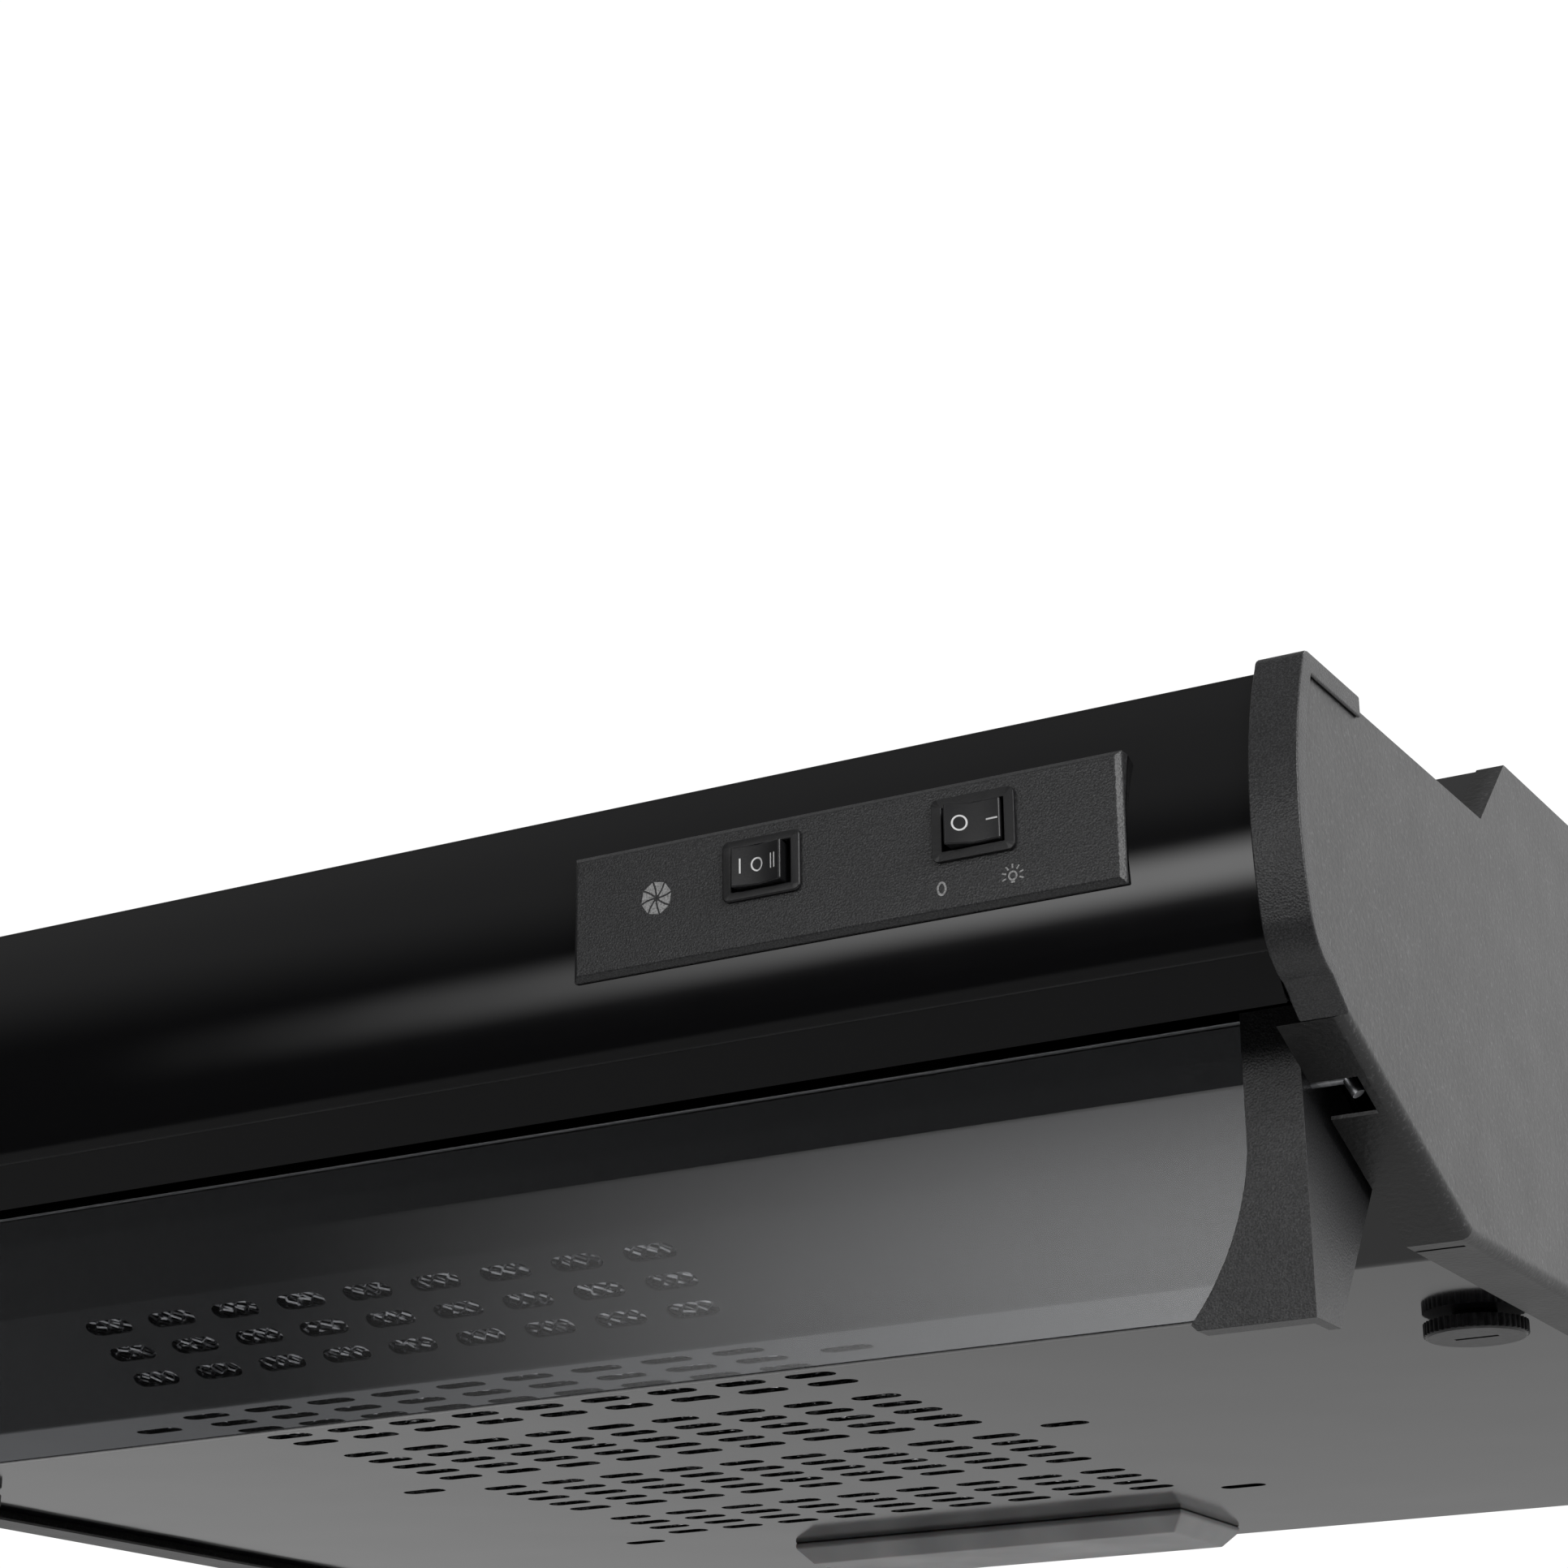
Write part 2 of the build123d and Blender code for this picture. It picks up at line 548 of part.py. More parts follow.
# quarter-turn knobs: a knurled disc below, a spindle, and a tongue that turns over a keeper
knob_top = grille_height - knob_gap
knob_low = knob_top - knob_thick
ridges, ridge_r = 44, 0.7
knob = rod_z(knob_x, knob_back, knob_low, knob_top, knob_r - 0.5)
knob = chamfer(knob.edges().filter_by(GeomType.CIRCLE).group_by(Axis.Z)[0], 0.5)
for i in range(ridges):
    angle = 2 * math.pi * i / ridges
    knob += rod_z(knob_x + (knob_r - ridge_r) * math.cos(angle),
                  knob_back + (knob_r - ridge_r) * math.sin(angle),
                  knob_low + 0.6, knob_top, ridge_r)
knob += rod_z(knob_x, knob_back, knob_top, grille_height - touch, 6.0)
spindle_top = panel_top + touch + tongue_thick
knob += rod_z(knob_x, knob_back, knob_top, spindle_top, spindle_r)
knob -= block(knob_x - 6, knob_x + 6, knob_back - 0.9, knob_back + 0.9, knob_low - 1,
              knob_low + 1.2)
knob -= rod_z(knob_x, knob_back, grille_height - 1, spindle_top + 1, screw_shank_r - 0.4)
pair("latch_knob", knob)
tongue_low = panel_top + touch
tongue = block(knob_x - tongue_wide / 2, knob_x + tongue_wide / 2, knob_back,
               knob_back + tongue_long - 5, tongue_low, tongue_low + tongue_thick)
tongue += rod_z(knob_x, knob_back, tongue_low, tongue_low + tongue_thick, 7.0)
tongue += rod_z(knob_x, knob_back + tongue_long - 5, tongue_low, tongue_low + tongue_thick,
                tongue_wide / 2)
tongue -= rod_z(knob_x, knob_back, tongue_low - 1, tongue_low + 3, spindle_r)
pair("latch_tongue", tongue)
latch_screw = rod_z(knob_x, knob_back, grille_height - 1, spindle_top, screw_shank_r - 0.4)
latch_screw += rod_z(knob_x, knob_back, spindle_top, spindle_top + 2.0, screw_head_r + 1.2)
pair("latch_screw", latch_screw)
keeper_x0 = half - flange + keeper_inset
keeper = block(keeper_x0, keeper_x0 + keeper_w, knob_back - keeper_long / 2,
               knob_back + keeper_long / 2, sheet, tongue_low - touch)
save("latch_keepers", keeper, mirrored(keeper))

# ======================================================================================
# Visor: smoked glass between two moulded brackets that turn on steel pins
# ======================================================================================
glass_front = visor_back - glass_thick / 2
glass_rear = visor_back + glass_thick / 2
bracket_inner = bracket_outer - bracket_narrow
glass_half = bracket_outer - 6.0
glass = block(-glass_half, glass_half, glass_front, glass_rear, glass_bottom, glass_top)
bracket_front = glass_front - bracket_front_wall
bracket_rear = glass_rear + bracket_rear_wall


def bracket_face_outline():
    """Front face: straight outside, narrow at the top, flaring inwards in a curve below."""
    flare_start = (bracket_inner, 0, Z(bracket_bottom + 40))
    flare_mid = (bracket_inner - 6.2, 0, Z(bracket_bottom + 17))
    flare_end = (bracket_outer - bracket_wide, 0, Z(bracket_bottom + 1.5))
    top_in = (bracket_inner, 0, Z(bracket_top))
    top_out = (bracket_outer, 0, Z(bracket_top))
    low_out = (bracket_outer, 0, Z(bracket_bottom))
    low_in = (bracket_outer - bracket_wide + 1.5, 0, Z(bracket_bottom))
    return make_face([Line(top_in, top_out), Line(top_out, low_out), Line(low_out, low_in),
                      Line(low_in, flare_end), ThreePointArc(flare_end, flare_mid, flare_start),
                      Line(flare_start, top_in)])


shell = Pos(0, Y(bracket_front), 0) * extrude(bracket_face_outline(),
                                              amount=bracket_rear - bracket_front, dir=(0, 1, 0))
arm_clear = 1.2               # between the arm and the inclined panel
arm_under = grille_height + grille_slope * grille_bend_back - arm_clear
arm_tip_back, arm_tip_height = 91.0, 18.4
arm_foot_back, arm_neck_back = 58.8, 60.0
arm_points = [(bracket_front, bracket_bottom), (arm_foot_back, bracket_bottom),
              (arm_tip_back, arm_tip_height),
              (arm_tip_back, arm_under - grille_slope * arm_tip_back),
              (arm_neck_back, arm_under - grille_slope * arm_neck_back),
              (bracket_rear, bracket_top - 4.2), (bracket_front, bracket_top)]
arm = prism(side_face(arm_points), bracket_outer - arm_thick, bracket_outer)
bracket = shell + arm
bracket -= block(0, glass_half, glass_front, glass_rear, glass_bottom, glass_top)
bracket -= rod_x(bracket_outer - 9, bracket_outer + 2, pin_back, pin_height, pin_r)
notch_in = pivot_ear_x - pivot_ear_thick / 2 - touch
notch_out = pivot_ear_x + pivot_ear_thick / 2 + touch
ear_slot_front = pin_back - pivot_ear_r - touch
ear_slot_low = pin_height - pivot_ear_r - 2.5
bracket -= block(notch_in, notch_out, ear_slot_front, arm_neck_back, ear_slot_low,
                 bracket_top + 5)
for side in (-1, 1):
    x0, x1 = sorted((side * notch_in, side * (glass_half + 1)))
    glass -= block(x0, x1, glass_front - 1, glass_rear + 1, ear_slot_low, glass_top + 1)
save("visor_glass", glass)
pair("visor_bracket", bracket)

pin = rod_x(notch_in + 0.2, pin_reach, pin_back, pin_height, pin_r)
pin_end = Pos(pin_reach, Y(pin_back), Z(pin_height))
tip = pin_end * Sphere(pin_r)
tip += pin_end * Rot(0, 150, 0) * Cylinder(pin_r, 5.0,
                                           align=(Align.CENTER, Align.CENTER, Align.MIN))
pair("visor_pin", pin + tip)

# pivot ears on the grille panel's front, behind the brackets
ear_foot_back = 66.0
ear_under = grille_height + grille_slope * grille_bend_back
ear_foot_front = grille_front + 1.5
pivot_points = [(pin_back + 1.2, pin_height - 2.6), (pin_back + 3.2, pin_height - 1.0),
                (ear_foot_back, ear_under - grille_slope * ear_foot_back),
                (ear_foot_front, ear_under - grille_slope * ear_foot_front),
                (pin_back + 1.2, pin_height + 2.8)]
pivot_ear = prism(side_face(pivot_points), pivot_ear_x - pivot_ear_thick / 2,
                  pivot_ear_x + pivot_ear_thick / 2)
pivot_ear += rod_x(pivot_ear_x - pivot_ear_thick / 2, pivot_ear_x + pivot_ear_thick / 2,
                   pin_back, pin_height, pivot_ear_r)
pivot_ear -= rod_x(pivot_ear_x - 5, pivot_ear_x + 5, pin_back, pin_height, pin_r + running)
pair("pivot_ear", pivot_ear)
save("grille_panel", grille)

# ======================================================================================
# Blower: two scroll halves, a drum on the motor's shaft, and the motor on its bracket
# ======================================================================================
duct_front = outlet_back - scroll_r
duct_rear = outlet_back + scroll_r - 20


def scroll_profile(wall, top):
    ring = Pos(0, Y(outlet_back), Z(blower_height)) * Rot(0, 90, 0) * Circle(scroll_r - wall)
    duct = side_face([(duct_front + wall, blower_height), (duct_rear - wall, blower_height),
                      (duct_rear - wall, top), (duct_front + wall, top)])
    return ring + duct


scroll = prism(scroll_profile(0, height - sheet), 0, scroll_half)
scroll -= prism(scroll_profile(scroll_wall, height + 5), -1, scroll_half - scroll_wall)
scroll -= rod_x(scroll_half - 9, scroll_half + 9, outlet_back, blower_height, inlet_r)
spoke_angles = [90, 210, 330]
spoke_screw_r = inlet_r + 6


def around_shaft(angle, r):
    a = math.radians(angle)
    return outlet_back + r * math.cos(a), blower_height + r * math.sin(a)


scroll_left = mirrored(scroll)
for angle in spoke_angles:
    b, h = around_shaft(angle, spoke_screw_r)
    scroll_left -= rod_x(-scroll_half - 5, -scroll_half + 5, b, h, screw_shank_r)
save("blower_scroll_right", scroll)
save("blower_scroll_left", scroll_left)

motor_bracket = rod_x(-scroll_half - 2, -motor_out, outlet_back, blower_height, motor_r)
for angle in spoke_angles:
    spoke = Box(2, spoke_screw_r + 6, 12, align=(Align.MIN, Align.MIN, Align.CENTER))
    centre = Pos(-scroll_half - 2, Y(outlet_back), Z(blower_height))
    motor_bracket += centre * Rot(angle, 0, 0) * spoke
    b, h = around_shaft(angle, spoke_screw_r)
    motor_bracket -= rod_x(-scroll_half - 9, -scroll_half + 9, b, h, screw_shank_r)
motor_bracket -= rod_x(-scroll_half - 9, -motor_out + 9, outlet_back, blower_height, bearing_r)
save("motor_bracket", motor_bracket)

motor = rod_x(-motor_out, -motor_in, outlet_back, blower_height, motor_r)
motor = fillet(motor.edges().filter_by(GeomType.CIRCLE).sort_by(Axis.X)[-1], 3)
motor -= rod_x(-motor_out - 1, -motor_in + 1, outlet_back, blower_height, bearing_r)
save("motor_body", motor)
bearings = []
for x0 in (-motor_out, -motor_in - bearing_wide):
    ring = rod_x(x0, x0 + bearing_wide, outlet_back, blower_height, bearing_r)
    ring -= rod_x(x0 - 1, x0 + bearing_wide + 1, outlet_back, blower_height, shaft_r + running)
    bearings.append(ring)
save("motor_bearings", *bearings)
save("motor_shaft", rod_x(-motor_out - 3, 14, outlet_back, blower_height, shaft_r))

drum = rod_x(-1, 1, outlet_back, blower_height, drum_r)
drum += rod_x(-3, 12, outlet_back, blower_height, drum_hub_r)
for x0 in (-drum_half, drum_half - drum_ring):
    ring = rod_x(x0, x0 + drum_ring, outlet_back, blower_height, drum_r)
    drum += ring - rod_x(x0 - 1, x0 + drum_ring + 1, outlet_back, blower_height, drum_inner)
blade_radial = drum_r - drum_inner - 0.6
for i in range(blades):
    blade = Box(2 * drum_half - 1, blade_radial, blade_thick,
                align=(Align.CENTER, Align.MIN, Align.CENTER))
    place = Pos(0, Y(outlet_back), Z(blower_height)) * Rot(360 * i / blades, 0, 0)
    drum += place * Pos(0, drum_inner + 0.3, 0) * Rot(20, 0, 0) * blade
drum -= rod_x(-drum_half, drum_half, outlet_back, blower_height, shaft_r)
save("impeller", drum)

spoke_screws = []
for angle in spoke_angles:
    b, h = around_shaft(angle, spoke_screw_r)
    one = rod_x(-scroll_half - 2, -scroll_half + 4, b, h, screw_shank_r)
    one += rod_x(-scroll_half - 2 - screw_head, -scroll_half - 2, b, h, screw_head_r)
    spoke_screws.append(one)
save("motor_screws", *spoke_screws)

# ======================================================================================
# Outlet collar with two back-draught flaps on one rod
# ======================================================================================
collar = rod_z(0, outlet_back, height, height + collar_up, collar_r)
collar += rod_z(0, outlet_back, height, height + collar_flange, collar_flange_r)
collar -= rod_z(0, outlet_back, height - 1, height + collar_up + 1, collar_r - collar_wall)
rod_up = height + flap_height
ledge_r = collar_r - collar_wall
ledge_low = rod_up - flap_rod_r - 2.2
flap_under = rod_up - flap_thick / 2
for side in (-1, 1):
    x0, x1 = sorted((side * (ledge_r - 4.5), side * (ledge_r + 0.4)))
    collar += block(x0, x1, outlet_back - 8, outlet_back + 8, ledge_low, flap_under - 0.1)
for x, back in collar_screw_places:
    collar -= rod_z(x, back, height - 1, height + 9, screw_shank_r)
collar -= rod_y(0, outlet_back - collar_r - 2, outlet_back + collar_r + 2, rod_up, flap_rod_r)
save("outlet_collar", collar)
save("flap_rod", rod_y(0, outlet_back - collar_r, outlet_back + collar_r, rod_up, flap_rod_r))

flap_r = ledge_r - flap_gap
knuckle_r = flap_rod_r + 1.4
knuckle = flap_r / 2 - 6


def flap(side):
    """Half disc with two knuckles that turn on the rod, offset from its partner's."""
    disc = rod_z(0, outlet_back, flap_under, flap_under + flap_thick, flap_r)
    x0, x1 = sorted((side * (knuckle_r + touch), side * (flap_r + 5)))
    leaf = disc & block(x0, x1, outlet_back - flap_r - 1, outlet_back + flap_r + 1,
                        flap_under - 1, flap_under + 5)
    starts = (-2 * knuckle, 0) if side > 0 else (-knuckle, knuckle)
    for s in starts:
        b0, b1 = outlet_back + s + touch, outlet_back + s + knuckle - touch
        tab0, tab1 = sorted((side * 0.0, side * (knuckle_r + touch + 1)))
        leaf += rod_y(0, b0, b1, rod_up, knuckle_r)
        leaf += block(tab0, tab1, b0, b1, flap_under, flap_under + flap_thick)
    return leaf - rod_y(0, outlet_back - flap_r, outlet_back + flap_r, rod_up,
                        flap_rod_r + running)


save("flap_right", flap(1))
save("flap_left", flap(-1))

collar_screws = []
for x, back in collar_screw_places:
    one = rod_z(x, back, height - 5, height + collar_flange, screw_shank_r)
    one += rod_z(x, back, height + collar_flange, height + collar_flange + screw_head, screw_head_r)
    collar_screws.append(one)
save("collar_screws", *collar_screws)

# ======================================================================================
# Lamp holder above the cover, electrics, inlet gland and fixing screws
# ======================================================================================
lamp_back = lamp_front + lamp_d / 2
lamp_bracket_x = lamp_x - socket_offset
holder_top = bulb_height + 20
lamp_bracket = block(lamp_bracket_x - lamp_bracket_thick, lamp_bracket_x, lamp_back - 16,
                     depth - sheet, bulb_height - 16, holder_top)
lamp_bracket += block(lamp_bracket_x - lamp_bracket_foot, lamp_bracket_x,
                      depth - sheet - lamp_bracket_thick, depth - sheet,
                      bulb_height - 16, holder_top)
lamp_bracket -= rod_x(lamp_bracket_x - 5, lamp_bracket_x + 5, lamp_back, bulb_height, socket_neck_r)
lamp_screw_ups = (bulb_height - 10, bulb_height + 14)
for up in lamp_screw_ups:
    hole = rod_y(lamp_bracket_x - lamp_screw_in, depth - 9, depth + 5, up, screw_shank_r)
    lamp_bracket -= hole
    back_panel -= hole
save("lamp_bracket", lamp_bracket)

socket_x = lamp_bracket_x
bulb_start = socket_x + socket_long + 1
socket = rod_x(socket_x, socket_x + socket_long, lamp_back, bulb_height, socket_r)
socket += rod_x(socket_x - 8, socket_x, lamp_back, bulb_height, socket_neck_r)
socket -= rod_x(socket_x + 3, bulb_start, lamp_back, bulb_height, bulb_cap_r + 0.2)
save("lamp_socket", socket)
save("bulb_cap", rod_x(socket_x + 4, bulb_start, lamp_back, bulb_height, bulb_cap_r))
bulb_outline = make_face([
    Line((bulb_start, 0), (bulb_start, bulb_cap_r - 0.4)),
    Spline([(bulb_start, bulb_cap_r - 0.4), (bulb_start + 14, bulb_r - 3.5),
            (bulb_start + 32, bulb_r), (bulb_start + 50, bulb_r - 3.0),
            (bulb_start + bulb_long, 0.0)]),
    Line((bulb_start + bulb_long, 0), (bulb_start, 0))])
bulb = revolve(bulb_outline, axis=Axis.X)
save("bulb_glass", Pos(0, Y(lamp_back), Z(bulb_height)) * bulb)

box_back = depth - sheet - box_d
terminal_box = block(box_x, box_x + box_w, box_back, depth - sheet, box_up, box_up + box_h - 2)
terminal_box -= block(box_x + box_wall, box_x + box_w - box_wall, box_back + box_wall,
                      depth - sheet - box_wall, box_up + box_wall, box_up + box_h)
save("terminal_box", terminal_box)
save("terminal_box_lid", block(box_x - 1, box_x + box_w + 1, box_back - 1, depth - sheet,
                               box_up + box_h - 2, box_up + box_h))
save("capacitor", rod_y(capacitor_x, depth - sheet - capacitor_long, depth - sheet - 1.5,
                        capacitor_up, capacitor_r))
clamp_ring = rod_y(capacitor_x, depth - 34, depth - 22, capacitor_up, capacitor_r + 1.0)
clamp_ring -= rod_y(capacitor_x, depth - 35, depth - 21, capacitor_up, capacitor_r)
clamp_low = capacitor_up + capacitor_r + 0.2
clamp_screw_up = clamp_low + 6.8
clamp_foot = block(capacitor_x - 8, capacitor_x + 8, depth - 34, depth - sheet, clamp_low,
                   clamp_low + clamp_thick)
clamp_foot += block(capacitor_x - 8, capacitor_x + 8, depth - sheet - clamp_thick, depth - sheet,
                    clamp_low, clamp_low + 12.8)
clamp_hole = rod_y(capacitor_x, depth - 9, depth + 5, clamp_screw_up, screw_shank_r)
save("capacitor_clamp", clamp_ring + clamp_foot - clamp_hole)
back_panel -= clamp_hole

gland = rod_y(gland_x, depth - sheet - gland_long, depth, gland_height, gland_r)
gland += rod_y(gland_x, depth - sheet - 2.4, depth - sheet, gland_height, gland_r + 2.4)
gland -= rod_y(gland_x, depth - 20, depth + 9, gland_height, gland_bore_r)
save("cable_gland", gland)

screw_places = [(side * hinge_x + dx, hinge_screw_up, hinge_plate_thick)
                for side in (-1, 1) for dx in (-hinge_screw_dx, hinge_screw_dx)]
screw_places += [(lamp_bracket_x - lamp_screw_in, up, lamp_bracket_thick) for up in lamp_screw_ups]
screw_places += [(capacitor_x, clamp_screw_up, clamp_thick)]
back_screws = []
for x, up, grip in screw_places:
    grip_front = depth - sheet - grip
    one = rod_y(x, grip_front, depth, up, screw_shank_r)
    one += rod_y(x, grip_front - screw_head, grip_front, up, screw_head_r)
    back_screws.append(one)
save("back_screws", *back_screws)
save("top_panel", top_panel)
save("back_panel", back_panel)
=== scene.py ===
import math
import random

import bmesh
import bpy
from mathutils import Matrix, Vector
from mathutils.bvhtree import BVHTree


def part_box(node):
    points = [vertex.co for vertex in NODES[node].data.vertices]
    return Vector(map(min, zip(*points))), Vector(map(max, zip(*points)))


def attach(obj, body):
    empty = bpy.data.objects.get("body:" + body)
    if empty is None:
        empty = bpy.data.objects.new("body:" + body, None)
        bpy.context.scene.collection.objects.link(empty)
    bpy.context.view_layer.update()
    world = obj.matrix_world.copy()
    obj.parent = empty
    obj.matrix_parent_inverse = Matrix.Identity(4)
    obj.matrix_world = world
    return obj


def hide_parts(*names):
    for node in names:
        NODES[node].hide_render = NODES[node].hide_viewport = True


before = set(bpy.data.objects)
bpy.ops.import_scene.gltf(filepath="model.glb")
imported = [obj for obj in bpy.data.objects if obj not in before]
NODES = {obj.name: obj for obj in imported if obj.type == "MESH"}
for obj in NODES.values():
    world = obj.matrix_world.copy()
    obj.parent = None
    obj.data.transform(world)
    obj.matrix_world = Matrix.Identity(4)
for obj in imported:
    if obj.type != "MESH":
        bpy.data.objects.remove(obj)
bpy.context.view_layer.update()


# ---- Camera --------------------------------------------------------------------------
# A long lens low in front of the hood's right end, looking up under it, as a person
# who bends down to the hob sees it.
heading, rise, roll = math.radians(29.35), math.radians(20.43), math.radians(0.61)
ahead = Vector((-math.sin(heading) * math.cos(rise), math.cos(heading) * math.cos(rise),
                math.sin(rise)))
sideways = Vector((math.cos(heading), math.sin(heading), 0))
right = (Matrix.Rotation(roll, 3, ahead) @ sideways).normalized()
over = right.cross(ahead)
lens = bpy.data.cameras.new("camera")
lens.lens = 79.6
lens.sensor_width = 36
lens.clip_end = 50
camera = bpy.data.objects.new("camera", lens)
bpy.context.scene.collection.objects.link(camera)
camera_place = (0.5551, -1.0195, -0.3233)
turn = Matrix((right, over, -ahead)).transposed()
camera.matrix_world = Matrix.Translation(camera_place) @ turn.to_4x4()
bpy.context.scene.camera = camera


# ---- Studio --------------------------------------------------------------------------
# A pale floor well below the hood, and a white room that is open to the back and the
# sides and dark in front, so that gloss black sheet reads black in front and grey below.
def new_material(name, colour, roughness, metallic=0.0):
    """A node material with its Principled shader, and the shader itself."""
    material = bpy.data.materials.new(name)
    material.use_nodes = True
    shader = material.node_tree.nodes["Principled BSDF"]
    shader.inputs["Base Color"].default_value = (*colour, 1)
    shader.inputs["Roughness"].default_value = roughness
    shader.inputs["Metallic"].default_value = metallic
    return material, shader


def add(tree, kind, links=(), **values):
    """A node with its properties, input values and incoming links."""
    node = tree.nodes.new(kind)
    for key, value in values.items():
        setattr(node, key, value)
    for name, value in links:
        if hasattr(value, "is_output"):
            tree.links.new(value, node.inputs[name])
        else:
            node.inputs[name].default_value = value
    return node


floor_half = 1.2
floor_height = -1.0
floor_back = 0.35
slab = bmesh.new()
bmesh.ops.create_grid(slab, x_segments=8, y_segments=8, size=floor_half)
bmesh.ops.translate(slab, vec=(0, floor_back, floor_height), verts=slab.verts)
floor_mesh = bpy.data.meshes.new("floor")
slab.to_mesh(floor_mesh)
slab.free()
floor = bpy.data.objects.new("floor", floor_mesh)
bpy.context.scene.collection.objects.link(floor)
floor_paint, _ = new_material("pale_floor", (0.8, 0.8, 0.8), 0.6)
floor_mesh.materials.append(floor_paint)

room = bpy.data.worlds.new("studio")
bpy.context.scene.world = room
room.use_nodes = True
sky = room.node_tree
sky.nodes.clear()
direction = add(sky, "ShaderNodeTexCoord")
parts = add(sky, "ShaderNodeSeparateXYZ", [("Vector", direction.outputs["Generated"])])


def ramp(value, start, end, low, high):
    """Smooth step from low to high as a value runs from start to end."""
    return add(sky, "ShaderNodeMapRange",
               [("Value", value), ("From Min", start), ("From Max", end), ("To Min", low),
                ("To Max", high)], interpolation_type="SMOOTHSTEP").outputs[0]


def math_node(operation, *values):
    """One arithmetic step on the world's values."""
    return add(sky, "ShaderNodeMath", list(enumerate(values)), operation=operation).outputs[0]


# the back half is bright, less so straight up and down, to the left and below the horizon
x, y, z = (parts.outputs[axis] for axis in "XYZ")
to_back = ramp(y, -0.15, 0.45, 0.0, 1.0)
near_level = ramp(math_node("ABSOLUTE", z), 0.5, 0.95, 1.0, 0.35)
to_right = math_node("ADD", ramp(x, -0.32, 0.4, 0.57, 1.02), ramp(x, -0.8, -0.35, 0.17, 0.0))
raised = ramp(z, -0.14, 0.14, 0.68, 1.0)
behind = math_node("MULTIPLY", math_node("MULTIPLY", to_back, near_level),
                   math_node("MULTIPLY", to_right, raised))
# the front half is dark but for a weak light from above and from low in front
overhead = ramp(z, 0.25, 0.6, 0.03, 0.24)
off_side = math_node("SUBTRACT", 1.0, math_node("POWER", x, 2.0))
dip = math_node("DIVIDE", z, math_node("SQRT", math_node("MAXIMUM", off_side, 0.01)))
near_floor = ramp(dip, -0.74, -0.6, 0.15, 0.0)
before = math_node("ADD", overhead, near_floor)
strength = math_node("MULTIPLY_ADD", math_node("SUBTRACT", 1.0, to_back), before, behind)
room_light = add(sky, "ShaderNodeBackground", [("Color", (1, 1, 1, 1)), ("Strength", strength)])
backdrop = add(sky, "ShaderNodeBackground", [("Color", (1, 1, 1, 1)), ("Strength", 1.05)])
seen = add(sky, "ShaderNodeLightPath")
either = add(sky, "ShaderNodeMixShader", [(0, seen.outputs["Is Camera Ray"]),
                                          (1, room_light.outputs[0]),
                                          (2, backdrop.outputs[0])])
add(sky, "ShaderNodeOutputWorld", [("Surface", either.outputs[0])])
bpy.context.scene.view_settings.view_transform = "Standard"


def softbox(name, place, aim, size, radiance, fade=0.0):
    """Rectangular light, whose brightness can fade towards its edges."""
    lamp = bpy.data.lights.new(name, "AREA")
    lamp.shape = "RECTANGLE"
    lamp.size, lamp.size_y = size
    lamp.energy = radiance * math.pi * size[0] * size[1]
    if fade:
        lamp.use_nodes = True
        tree = lamp.node_tree
        surface = add(tree, "ShaderNodeNewGeometry")
        share = add(tree, "ShaderNodeSeparateXYZ", [("Vector", surface.outputs["Parametric"])])
        glow = 1.0
        for axis in "XY":
            shift = add(tree, "ShaderNodeMath", [(0, share.outputs[axis]), (1, 0.5)],
                        operation="SUBTRACT")
            from_middle = add(tree, "ShaderNodeMath", [(0, shift.outputs[0])],
                              operation="ABSOLUTE")
            edge = add(tree, "ShaderNodeMapRange",
                       [("Value", from_middle.outputs[0]), ("From Min", 0.5 - fade),
                        ("From Max", 0.5), ("To Min", 1.0), ("To Max", 0.0)],
                       interpolation_type="SMOOTHSTEP")
            glow = add(tree, "ShaderNodeMath", [(0, glow), (1, edge.outputs[0])],
                       operation="MULTIPLY").outputs[0]
        emission = next(n for n in tree.nodes if n.type == "EMISSION")
        tree.links.new(glow, emission.inputs["Strength"])
    box = bpy.data.objects.new(name, lamp)
    bpy.context.scene.collection.objects.link(box)
    box.location = place
    box.rotation_euler = (Vector(aim) - Vector(place)).to_track_quat("-Z", "Y").to_euler()


softbox("near_box", place=(0.0, -1.5, 0.1), aim=(0.2, -0.3, -0.07), size=(1.8, 0.46),
        radiance=3.4, fade=0.45)
softbox("right_box", place=(1.5, -1.1, 0.5), aim=(0, -0.2, -0.05), size=(1.0, 1.0),
        radiance=6.0)
softbox("top_box", place=(0.9, 0.7, 1.5), aim=(0.1, 0, 0), size=(0.9, 0.9), radiance=3.0)


# ---- Side walls ----------------------------------------------------------------------
# One folded steel sheet each, in a charcoal powder coat with a fine orange-peel skin
# and pale specks where the light catches its grains.
MM = 0.001


def surface_place(tree):
    """Place on the piece, in metres."""
    return add(tree, "ShaderNodeTexCoord").outputs["Object"]


def noise(tree, size, detail=2.0, spread=0.55):
    """Noise with features of about this size in metres."""
    return add(tree, "ShaderNodeTexNoise",
               [("Vector", surface_place(tree)), ("Scale", 1 / size), ("Detail", detail),
                ("Roughness", spread)])


def tint(tree, shader, factor, dark, pale, low=0.0, high=1.0):
    """Base colour that runs between two colours with a factor."""
    colours = add(tree, "ShaderNodeValToRGB", [("Fac", factor)])
    first, last = colours.color_ramp.elements
    first.position, last.position = low, high
    first.color, last.color = (*dark, 1), (*pale, 1)
    tree.links.new(colours.outputs["Color"], shader.inputs["Base Color"])


